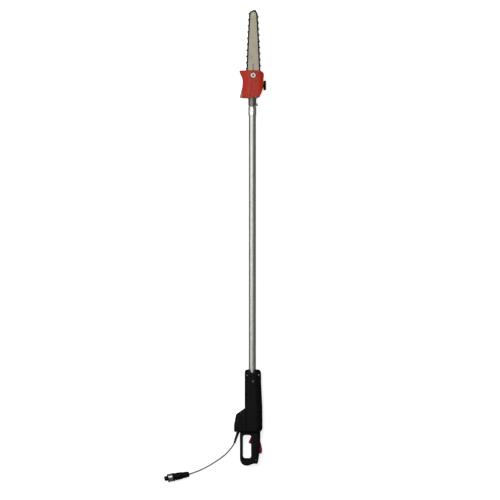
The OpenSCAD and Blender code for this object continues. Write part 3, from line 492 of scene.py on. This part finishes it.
def moulding(name, shape, voxel, passes):
    """Overlapping solids fused into one skin with rounded edges and fillets."""
    obj = raw(name, shape)
    remesh = obj.modifiers.new("fuse", "REMESH")
    remesh.mode = "VOXEL"
    remesh.voxel_size = voxel * MM
    soften = obj.modifiers.new("soften", "SMOOTH")
    soften.factor = 0.5
    soften.iterations = passes
    settle(obj)
    return obj


def slab(shape, outline, z0, z1, edge, steps=4):
    """An outline between two heights, with its top and bottom edges rounded."""
    if area(outline) < 0:
        outline = outline[::-1]
    arc = [math.pi / 2 * k / steps for k in range(steps + 1)]
    low = [(z0 + edge * (1 - math.sin(a)), edge * (1 - math.cos(a))) for a in reversed(arc)]
    high = [(z1 - edge * (1 - math.sin(a)), edge * (1 - math.cos(a))) for a in arc]
    rings = []
    for z, moved in low + high:
        rings.append([(x, y, z) for x, y in inset(outline, moved)])
    return shape.loft(rings)


# ---------- Handle ----------

WALL = 3
# Housing screws: x, y, half thickness there and depth of the recess.
SCREWS = [
    (-21, -569, 32, 4), (26.5, -568, 32, 4), (-23, -650, 30, 14), (34, -650, 26, 12),
    (34, -792, 26, 12), (-64, -741, 25, 12), (-70.5, -788, 22, 10), (-44.5, -929, 13, 5),
    (15, -921, 13, 7),
]
TUBE_SCREW = (3, -595)
# The barrel along the pole: y, left edge, right edge and half height.
BARREL = [
    (-546.3, -22.5, 24.5, 28), (-547, -25.2, 27.8, 31.5), (-548.6, -27.4, 30.6, 33.8),
    (-551.2, -29.3, 33, 35.2), (-555, -30.9, 35.4, 35.9), (-560, -31.5, 36.8, 36),
    (-600, -31.5, 37, 36), (-650, -31.5, 39.5, 36), (-700, -31.5, 42, 36),
    (-750, -31.5, 42.4, 36), (-790, -31.5, 42.7, 36), (-796, -31.5, 40.6, 36),
    (-801, -31.5, 37, 35.6), (-804, -31, 34.5, 34.4), (-805, -30, 33, 32.5),
]
# The bulge over the speed board: y, left edge and half height.
BULGE = [
    (-703.6, -24, 15), (-704.6, -28, 19), (-709, -34.5, 23), (-716, -44, 24.6), (-731, -65, 25),
    (-734, -67.4, 25), (-757, -72, 25), (-775, -75.8, 25), (-778, -76, 25), (-799, -76, 25),
    (-802.5, -74.6, 24.6), (-804.3, -72.6, 23.6), (-805, -70.6, 22),
]
LOOP = [
    (-51.5, -796), (-51.5, -918), (-49, -930), (-41, -940), (-30, -945), (-14, -945), (-4, -940),
    (8, -936.5), (20.5, -938.5), (24, -931), (28, -908), (29.5, -895), (29.5, -867), (33.4, -853),
    (33.4, -796),
]
# The grip along the pole: y, left edge, right edge and half height.
GRIP = [
    (-796, -5, 34, 17), (-822, -5, 34, 17), (-846, -5, 34, 17), (-853, -5, 33.2, 17),
    (-866, -5, 29.6, 17), (-880, -5, 29.2, 17), (-895, -5.2, 29.2, 16.6), (-906, -6.2, 28.2, 16.2),
    (-918, -8, 26, 15.6), (-927, -9, 24.4, 14.6), (-932, -8, 22, 12),
]
OPENING = [(-38.5, -914), (-5, -914), (-5, -818), (-38.5, -818)]


def barrel_rings(wall=0.0):
    rings = []
    for y, left, right, high in BARREL:
        left, right, high = left + wall, right - wall, high - wall
        section = [
            (left, -0.56 * high), (left + 12, -high), (right - 18.5, -high), (right, -0.5 * high),
            (right, 0.5 * high), (right - 18.5, high), (left + 12, high), (left, 0.56 * high),
        ]
        rings.append([(x, y, z) for x, z in rounded(section, 7, 5)])
    return rings


def bulge_rings(wall=0.0):
    rings = []
    for y, left, high in BULGE:
        left, high = left + wall, high - wall
        section = [(left, -0.66 * high), (left + 8.5, -high), (6, -high),
                   (6, high), (left + 8.5, high), (left, 0.66 * high)]
        rings.append([(x, y, z) for x, z in rounded(section, [6, 6, 0.5, 0.5, 6, 6], 5)])
    return rings


def grip_rings(wall=0.0):
    rings = []
    for y, left, right, high in GRIP:
        left, right, high = left + wall, right - wall, high - wall
        section = [(left, -0.5 * high), (left + 7, -high), (right - 8, -high), (right, -0.5 * high),
                   (right, 0.5 * high), (right - 8, high), (left + 7, high), (left, 0.5 * high)]
        rings.append([(x, y, z) for x, z in rounded(section, 6, 5)])
    return rings


def make_housing():
    shape = Shape()
    shape.loft(barrel_rings())
    shape.loft(bulge_rings())
    shape.loft(grip_rings())
    slab(shape, rounded(LOOP, 5, 4), -15, 15, 5)
    housing = moulding("housing", shape, 1.1, 6)

    # The hand opening, flared to soft edges.
    hole = rounded(OPENING, [11, 9, 9, 12], 6)
    flare = [(18, 6), (16.2, 3.6), (15, 2.1), (13.6, 1.1), (11.5, 0.35), (8, 0)]
    layers = [(-z, out) for z, out in flare] + [(z, out) for z, out in reversed(flare)]
    tool = Shape()
    tool.loft([[(x, y, z) for x, y in inset(hole, -out)] for z, out in layers])
    boolean(housing, tool)

    boolean(housing, Shape().loft([r for r in barrel_rings(WALL) if -802 < r[0][1] < -561]))
    boolean(housing, Shape().loft([r for r in bulge_rings(WALL) if -803 < r[0][1] < -706]))
    boolean(housing, Shape().loft([r for r in grip_rings(WALL) if -912 < r[0][1]]))

    tool = Shape()
    for x, y, z, deep in SCREWS:
        tool.turned([(z - deep - 0.2, 3.45), (z - 1.0, 3.45), (z + 0.4, 3.9), (z + 14, 4.1)],
                    Matrix.Translation((x, y, 0)), 32)
    boolean(housing, tool)
    boolean(housing, Shape().turned([(24, 4.4), (34.8, 4.4), (36.4, 5.4), (40, 5.6)],
                                    Matrix.Translation((*TUBE_SCREW, 0)), 32))
    # The bore for the tube, and the dished mouth that shows the tube's end.
    boolean(housing, Shape().turned([(-700, 15.1), (-553, 15.1), (-548, 15.5), (-545.4, 17.2),
                                     (-536, 17.4)], along_y()))
    mouth = Shape()
    arc = [(14.3 * math.cos(a), -544.4 + 14.3 * math.sin(a))
           for a in (math.pi + math.pi * k / 24 for k in range(25))]
    outline = [(-17.5, -535), (-14.8, -543.6)] + arc + [(14.8, -543.6), (17.5, -535)]
    mouth.loft([[(x, y, z) for x, y in inset(outline, -out)]
                for z, out in ((3, 0), (31, 0), (34.5, 0.9), (37, 2.6))])
    boolean(housing, mouth)
    # Slots for the trigger and the lock lever.
    slots = Shape()
    slots.block((-8, -858, -5.8), (2, -817, 5.8))
    boolean(housing, slots)
    boolean(housing, Shape().block((14, -899, -5.8), (40, -829, 5.8)))
    # The seat of the strain relief.
    relief = along(from_axis(CORD_EXIT), from_axis(RELIEF_END))
    boolean(housing, Shape().turned([(-14, 7.2), (30, 7.2)], relief, 40))
    # Two finger grooves across the heel of the grip, on both faces.
    grooves = Shape()
    groove = [(-1.3, 0), (-0.9, -0.9), (0, -1.3), (0.9, -0.9), (1.3, 0), (0.9, 3), (-0.9, 3)]
    for y in (-905, -914):
        for side in (-1, 1):
            grooves.loft([[(x, y + dy, side * (16.8 + dz)) for dy, dz in groove] for x in (8, 27)])
    boolean(housing, grooves)

    seam = 0.12
    for name, node, low, high in (
        ("housing_lower", "housing_lower_shell", -seam, 60),
        ("housing_upper", "housing_upper_shell", -60, seam),
    ):
        half = housing.copy()
        half.data = housing.data.copy()
        half.name = name
        bpy.context.collection.objects.link(half)
        boolean(half, Shape().block((-120, -1000, low), (120, -500, high)))
        finish_piece(half, "handle", "black_plastic", 35)
        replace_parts(half, node)
    bpy.data.objects.remove(housing)


make_housing()


def lever(name, node, outline, pin, body):
    """A moulded lever with a boss round its pin and well rounded edges."""
    shape = Shape()
    slab(shape, rounded(outline, 2.2, 4), -4.9, 4.9, 2.0)
    x, y = pin
    shape.turned([(-4.9, 3.6), (-4, 4.4), (4, 4.4), (4.9, 3.6)], Matrix.Translation((x, y, 0)), 40)
    obj = moulding(name, shape, 0.4, 3)
    boolean(obj, Shape().turned([(-9, 2.06), (9, 2.06)], Matrix.Translation((x, y, 0)), 40))
    finish_piece(obj, body, "crimson_plastic", 50)
    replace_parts(obj, node)


TRIGGER = [
    (-1, -816), (-3.5, -824), (-7, -829), (-11, -838), (-15.5, -848), (-14.5, -851.5), (-9, -853),
    (-4, -857), (-1, -857), (0, -846), (3, -834), (8, -819),
]
LOCK_LEVER = [
    (27, -832), (32, -839), (34.5, -847), (38, -861), (40.6, -875), (41, -886), (38.5, -894),
    (33.5, -896.5), (28.5, -894), (26, -884), (25, -862), (23, -842),
]
lever("trigger_moulding", "trigger", TRIGGER, (4, -816), "trigger")
lever("lock_lever_moulding", "lock_lever", LOCK_LEVER, (25, -836), "lock_lever")


# ---------- Cord and plug ----------

def make_relief():
    """A ribbed rubber boot round the cord where it leaves the housing."""
    start, end = from_axis(CORD_EXIT), from_axis(RELIEF_END)
    length = (end - start).length
    bore = CORD_DIAMETER / 2 + 0.1
    profile = [(-8.6, bore), (-8.6, 9.2), (-6.2, 9.2), (-6, 6.9), (3.4, 6.9), (4.4, 6.5)]
    at = 5.0
    while at < length - 8:
        r = 6.6 - 1.5 * at / length
        profile += [(at, r - 1.0), (at + 0.9, r - 1.0), (at + 1.5, r), (at + 4.4, r - 0.15),
                    (at + 5, r - 1.0)]
        at += 6.2
    profile += [(length - 1.6, 4.9), (length - 0.4, 4.6), (length, 4.0), (length, bore)]
    shape = Shape()
    shape.pipe(profile, along(start, end), 40)
    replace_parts(piece("strain_relief_boot", shape, "handle", "rubber", 40), "strain_relief")


make_relief()


def make_plug():
    axis = along(from_axis(PLUG_REAR), from_axis(PLUG_TIP))

    def flutes(height, angle):
        return -0.55 * max(0, math.cos(16 * angle)) if 37 < height < 59 else 0

    def grip(height, angle):
        return -0.5 * max(0, math.cos(12 * angle)) if 10 < height < 21.5 else 0

    body = Shape()
    body.turned([
        (0, 5), (0, 8.2), (0.6, 9.4), (2.2, 10.4), (5, 11), (8.4, 11.8), (10.5, 12.2),
        (15, 12.6), (21, 13), (23, 12.9), (24, 12.4), (25.4, 12.4), (26.6, 13.2), (31, 14),
        (35.4, 14.8), (37.5, 15.1), (48, 15.4), (58, 15.5), (59.4, 15.3), (60, 14.6), (60.2, 12.6),
        (63.9, 12.4), (63.9, 0.01),
    ], axis, 96, lambda h, a: flutes(h, a) + grip(h, a))
    plug_body = piece("plug_body_moulding", body, "handle", "black_plastic", 35)
    bore = CORD_DIAMETER / 2 + 0.2
    boolean(plug_body, Shape().turned([(-1, bore), (19, bore)], axis, 32))
    finish_piece(plug_body, None, "black_plastic", 35)
    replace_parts(plug_body, "plug_body")

    ring = Shape()
    ring.pipe([
        (69.5, 12.6), (69.5, 16), (70.2, 16.9), (71, 17.2), (76.6, 17.2), (77.6, 16.6), (78.2, 15.2),
        (80.6, 15.2), (81.4, 16.8), (82.2, 17.4), (87, 17.4), (88, 16.8), (88.4, 15.8), (88.4, 12.6),
    ], axis, 96)
    bright = piece("plug_coupling_ring", ring, "plug_ring", "bright_steel", 35)
    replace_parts(bright, "plug_ring")

    def notches(height, angle, radius):
        return -0.8 * max(0, math.cos(12 * angle)) if radius > 16.4 and height < 69 else 0

    rims = Shape()
    rims.pipe([(61.2, 12.6), (61.2, 16.4), (62, 17), (68.4, 17), (69.3, 16.4), (69.3, 12.6)],
              axis, 96, notches)
    rims.pipe([(88.6, 12.6), (88.6, 17.6), (89.2, 18), (90.4, 17.8), (90.9, 17.2), (90.9, 12.6)], axis, 96)
    piece("plug_ring_rims", rims, "plug_ring", "black_plastic", 35)

    nose = Shape()
    nose.turned([
        (64, 0.01), (64, 12.4), (90, 12.4), (91.6, 12), (93.4, 10.2), (101, 10), (102.4, 9.7),
        (104.4, 8.6), (105, 7.6), (105, 0.01),
    ], axis, 72)
    insert = piece("plug_nose_insert", nose, "handle", "black_plastic", 35)
    pins = Shape()
    for k in range(3):
        a = math.radians(120 * k)
        pin_at = Matrix.Translation((4.6 * math.cos(a), 4.6 * math.sin(a), 0))
        pins.turned([(93, 1.4), (110, 1.4)], axis @ pin_at, 24)
    boolean(insert, pins)
    finish_piece(insert, None, "black_plastic", 35)
    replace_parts(insert, "plug_insert")
    return [plug_body, insert]


plug_pieces = make_plug()


# ---------- Lock collar ----------

def make_collar():
    def flutes(y, angle, radius):
        return -0.3 * max(0, math.cos(24 * angle)) ** 4 if 515 < y < 537 and radius > 16 else 0

    shape = Shape()
    shape.pipe([
        (508, 15.5), (508, 16), (508.6, 16.5), (513.5, 16.5), (514.5, 16.3), (516, 16.5), (526, 16.5),
        (536, 16.5), (537.5, 16.3), (538.5, 16.5), (543.6, 16.5), (544.6, 15.9), (545, 15), (545, 12.5),
        (542, 12.5), (542, 14.5), (532.2, 14.5), (532.2, 15.5),
    ], along_y(), 144, flutes)
    collar = piece("lock_collar_knurled", shape, "lock_collar", "tube_aluminium", 35)
    collar.data.materials[0] = LOOKS["collar_aluminium"]
    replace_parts(collar, "lock_collar")


make_collar()


# ---------- Saw head ----------

SPROCKET_Y = 622
STUD = (4.5, 673)
PUMP_AT = (20, 661)
CLAMP_AT = (19, 552.5)
# The oil cap's place along the pole and below its axis.
CAP_AT = (633, -14)
CASTING = [
    (-51, 691), (-51, 686), (-47, 677), (-42, 668), (-38.5, 658), (-37.8, 646), (-39, 634),
    (-43, 620), (-47.5, 602), (-52, 585), (-51, 580), (-17, 578), (19, 578), (31, 585),
    (36, 600), (42, 620), (44, 655), (45, 677), (36, 688), (26, 691),
]
COVER = [
    (-53.5, 694), (-53.5, 688), (-50, 679), (-45.5, 670), (-41.5, 661), (-40, 650), (-40.6, 636),
    (-42, 620), (-43.5, 580), (-15, 580.5), (20, 583.5), (32, 588.5), (38, 600), (42, 612),
    (45.8, 625), (46.2, 655), (48.5, 676), (46, 685), (37, 691), (27, 694),
]
COVER_ROUNDING = [3.4, 4, 8, 8, 8, 8, 8, 8, 3.4, 5, 4, 5, 8, 8, 8, 8, 5, 4, 5, 4]
TANK = [(29, 603), (36, 603), (46, 622), (46, 662), (42, 674), (29, 674)]


def make_gearcase():
    shape = Shape()
    slab(shape, rounded(CASTING, 1.6, 3), -4, 14, 1.2)
    shape.block((-14.5, 648, 10), (23.5, 690, 16))
    shape.block((-5.5, 685, 4), (14.5, 726, 16))
    shape.turned([(-33, 27), (-31, 27), (0, 27.4), (3, 27.6)], Matrix.Translation((0, SPROCKET_Y, 0)), 72)
    shape.turned([(547, 16.0), (547.8, 16.75), (556, 16.75), (588, 16.75), (595, 16.6)], along_y(), 72)
    shape.turned([(590, 13.5), (606, 13.5)], along_y(), 48)
    # The split neck's clamp lug.
    lug = rounded([(10, 547.2), (21.5, 547.2), (23, 549), (23, 556), (21.5, 557.8), (10, 558)], 1.5, 3)
    slab(shape, lug, -6, 6, 1.0)
    # Stiffening ribs under the plate.
    for x0, x1 in ((-30, -26.5), (24, 27)):
        shape.block((x0, 590, -13), (x1, 664, 0))
    case = moulding("gearcase_casting", shape, 0.8, 3)
    boolean(case, Shape().turned([(-40, 23), (3, 23)], Matrix.Translation((0, SPROCKET_Y, 0)), 64))
    boolean(case, Shape().turned([(-1, 7.55), (10, 7.55), (10, 5.6), (20, 5.6)],
                                 Matrix.Translation((0, SPROCKET_Y, 0)), 48))
    boolean(case, Shape().turned([(540, 12.05), (575, 12.05), (575, 8), (582, 8), (582, 11), (590, 11),
                                  (590, 8), (596, 8), (596, 10.2), (618, 10.2)], along_y(), 64))
    boolean(case, Shape().block((8, 540, -0.8), (30, 560.5, 0.8)))
    boolean(case, Shape().turned([(-10, 2.56), (6, 2.56), (6, 5), (16, 5)],
                                 Matrix.Translation((*CLAMP_AT, 0)), 40))
    boolean(case, Shape().turned([(-10, 3.02), (30, 3.02)], Matrix.Translation((*STUD, 0)), 32))
    boolean(case, Shape().turned([(655, 2.06), (720, 2.06)], along_y(-22, 0, 9), 32))
    boolean(case, Shape().block((-26, 666, 4.5), (-16, 684, 12.5)))
    boolean(case, Shape().block((-17, 666, 6.5), (-4, 684, 18.5)))
    boolean(case, Shape().turned([(-12, 6.06), (2, 6.06)], Matrix.Translation((*PUMP_AT, 0)), 40))
    holes = Shape()
    for k in range(4):
        a = math.radians(45 + 90 * k)
        holes.turned([(-36, 1.25), (-26, 1.25)],
                     Matrix.Translation((25 * math.cos(a), SPROCKET_Y + 25 * math.sin(a), 0)), 24)
    boolean(case, holes)
    finish_piece(case, "sliding_pole", "cast_alloy", 35)
    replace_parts(case, "gearcase")


make_gearcase()


def soft(t, width):
    """Nothing below zero and t above it, with a soft bend between."""
    return (t + math.sqrt(t * t + width * width)) / 2


def cover_top(x, y):
    """Height of the bar cover: a slope to the left of its ridge, and a rounded right shoulder."""
    ridge = -10.6 + 0.13 * (min(y, 655) - 632)
    z = 34.6 - 0.36 * soft(ridge - x, 2.4) + 0.14 * soft(-40 - x, 3)
    z -= 0.42 * soft(x - 37, 5)
    z -= 0.9 * ((y - 640) / 55) ** 2
    return z + 0.5 * math.exp(-((x - ridge) / 5) ** 2)


def dome(shape, outline, bottom, top, rim, steps=5, pitch=2.5):
    """An outline standing on z = bottom under a height function, with a rounded rim."""
    if area(outline) < 0:
        outline = outline[::-1]
    rings = [[(x, y, bottom) for x, y in outline]]
    arc = [math.pi / 2 * k / steps for k in range(steps + 1)]
    for a in arc:
        moved = inset(outline, rim * (1 - math.cos(a)))
        rings.append([(x, y, top(x, y) - rim * (1 - math.sin(a))) for x, y in moved])
    n = len(outline)
    verts = [v for ring in rings for v in ring]
    faces = [tuple(reversed(range(n)))]
    for i in range(len(rings) - 1):
        faces += [(i * n + k, i * n + (k + 1) % n, (i + 1) * n + (k + 1) % n, (i + 1) * n + k)
                  for k in range(n)]
    last = rings[-1]
    edge = [Vector(v[:2]) for v in last]
    low_x, high_x = min(v.x for v in edge), max(v.x for v in edge)
    low_y, high_y = min(v.y for v in edge), max(v.y for v in edge)
    grid = []
    for i in range(int((high_x - low_x) / pitch) + 1):
        for j in range(int((high_y - low_y) / pitch) + 1):
            p = Vector((low_x + (i + 0.5) * pitch, low_y + (j + 0.5) * pitch))
            if contains(edge, p) and min((p - q).length for q in edge) > pitch * 0.6:
                grid.append(p)
    points, _, triangles, _, _, _ = delaunay_2d_cdt(
        edge + grid, [(k, (k + 1) % n) for k in range(n)], [], 1, 1e-6)
    first = (len(rings) - 1) * n
    index = {}
    for i, p in enumerate(points):
        if i < n and (p - edge[i]).length < 1e-4:
            index[i] = first + i
        else:
            index[i] = len(verts)
            verts.append((p.x, p.y, top(p.x, p.y)))
    faces += [tuple(index[i] for i in t) for t in triangles]
    return shape.add(verts, faces)


def contains(outline, point):
    inside = False
    for a, b in zip(outline, outline[1:] + outline[:1]):
        if (a.y > point.y) != (b.y > point.y):
            if point.x < (b.x - a.x) * (point.y - a.y) / (b.y - a.y) + a.x:
                inside = not inside
    return inside


def dense(outline, step):
    """The outline with extra points, so that no side is longer than the step."""
    out = []
    for a, b in zip(outline, outline[1:] + outline[:1]):
        count = max(1, math.ceil((Vector(b) - Vector(a)).length / step))
        out += [tuple(Vector(a).lerp(Vector(b), k / count)) for k in range(count)]
    return out


def make_cover():
    outline = dense(rounded(COVER, COVER_ROUNDING, 5), 3)
    shape = Shape()
    dome(shape, outline, 14, cover_top, 2.0)
    cover = raw("bar_cover_moulding", shape)
    hollow = Shape()
    inner = dense(rounded(inset(COVER, 2.5), 3, 5), 3)
    dome(hollow, inner, 13, lambda x, y: cover_top(x, y) - 2.5, 1.0)
    boolean(cover, hollow)
    boolean(cover, Shape().block((-28, 686, 13), (37, 706, 24)))
    boolean(cover, Shape().turned([(20, 9), (33, 9)], Matrix.Translation((*STUD, 0)), 48), "UNION")
    boolean(cover, Shape().turned([(10, 3.3), (50, 3.3)], Matrix.Translation((*STUD, 0)), 48))
    boolean(cover, Shape().turned([(32, 12.6), (33.2, 12.6), (34.5, 13.4), (38, 15.2)],
                                  Matrix.Translation((*STUD, 0)), 64))
    boolean(cover, Shape().turned([(540, 16.95), (595.5, 16.95)], along_y(), 64))
    boolean(cover, Shape().turned([(33.1, 0.01), (33.1, 1.4), (33.6, 2.4), (34.5, 3.2), (38, 4)],
                                  Matrix.Translation((29, 661, 0)), 32))
    finish_piece(cover, "sliding_pole", "red_plastic", 32)
    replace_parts(cover, "bar_cover")


make_cover()


def make_oil_parts():
    tank = Shape()
    slab(tank, rounded(TANK, 3, 4), -28, -4.2, 2.6)
    tank = piece("oil_tank_blown", tank, "sliding_pole", "red_plastic", 35)
    boolean(tank, Shape().block((31.5, 605.5, -25.5), (43.4, 671.5, -6.7)))
    boolean(tank, Shape().turned([(40, 7), (50, 7)], along_x(0, *CAP_AT), 40))
    finish_piece(tank, None, "red_plastic", 35)
    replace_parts(tank, "oil_tank")

    def flutes(x, angle):
        return -0.8 * max(0, math.cos(20 * angle)) if 47 < x < 55.4 else 0

    cap = Shape()
    cap.turned([
        (38.6, 0.01), (38.6, 6.4), (46.3, 6.4), (46.5, 18.8), (46.9, 19.6), (47.6, 20), (51, 20),
        (54.6, 20), (55.6, 19.6), (56.6, 18.4), (57.2, 16.6), (57.3, 14.5), (56.4, 13.2), (56.2, 0.01),
    ], along_x(0, *CAP_AT), 160, flutes)
    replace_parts(piece("oil_cap_fluted", cap, "oil_cap", "black_plastic", 35), "oil_cap")


make_oil_parts()


def make_nut():
    """A flanged collar nut with a round shoulder and a recess for the clamp bolt's head."""
    nut = Shape()
    nut.pipe([
        (32.02, 3.1), (32.02, 11.6), (32.4, 12), (33.3, 12), (33.9, 11.8), (36.2, 10.6), (37.0, 9.4),
        (37.4, 7.8), (37.3, 5.6), (36.9, 4.7), (36.2, 4.36), (35, 4.36), (35, 3.1),
    ], Matrix.Translation((*STUD, 0)), 72)
    nut = piece("bar_nut_flanged", nut, "sliding_pole", "bright_steel", 35)
    nut.data.materials[0] = LOOKS["plated_nut"]
    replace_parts(nut, "bar_nut")


make_nut()


# ---------- CAD pieces that keep their shape ----------

SLOT_BY_NODE = {part["node"]: part["material_slot"] for part in frame["record"]["subparts"]}
# Screws and the stud darker than the slot's bright steel; the screws carry painted shade on the deep-set
# heads in the middle of the housing.
# The stud's dark steel is partly its own dark finish and partly painted shade for the deep hole in the
# nut's centre.
OWN_LOOK = {"housing_screws": "zinc_screw_painted_shade", "head_screws": "zinc_screw_painted_shade", "bar_stud": "dark_steel"}
# Width in millimetres of the softened edges.
SOFT_EDGES = {
    "guide_bar_plates": 0.25, "chain_tie_straps": 0.15, "chain_cutters": 0.15,
    "chain_drive_links": 0.15, "chain_rivets": 0.12, "bar_stud": 0.4, "head_screws": 0.3,
    "housing_screws": 0.25, "gearcase_cover": 0.5, "outer_tube": 0.4, "inner_tube": 0.3,
    "bar_rivets": 0.2,
}


def dress_cad():
    """A material for every CAD node, and softened edges on the ones in sight."""
    for node, obj in frame["nodes"].items():
        obj.data.materials.clear()
        obj.data.materials.append(LOOKS[OWN_LOOK.get(node, SLOT_BY_NODE[node])])
        if node in SOFT_EDGES:
            bevel = obj.modifiers.new("soft_edges", "BEVEL")
            bevel.width = SOFT_EDGES[node] * MM
            bevel.segments = 2
            bevel.limit_method = "ANGLE"
            bevel.angle_limit = math.radians(40)


dress_cad()


def lay_cord():
    """The cord lies on the floor with its plug at the far end."""
    supply_cord.data.materials.append(LOOKS["cord_grey"])
    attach(supply_cord, "handle")
    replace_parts(supply_cord, "cord")


lay_cord()
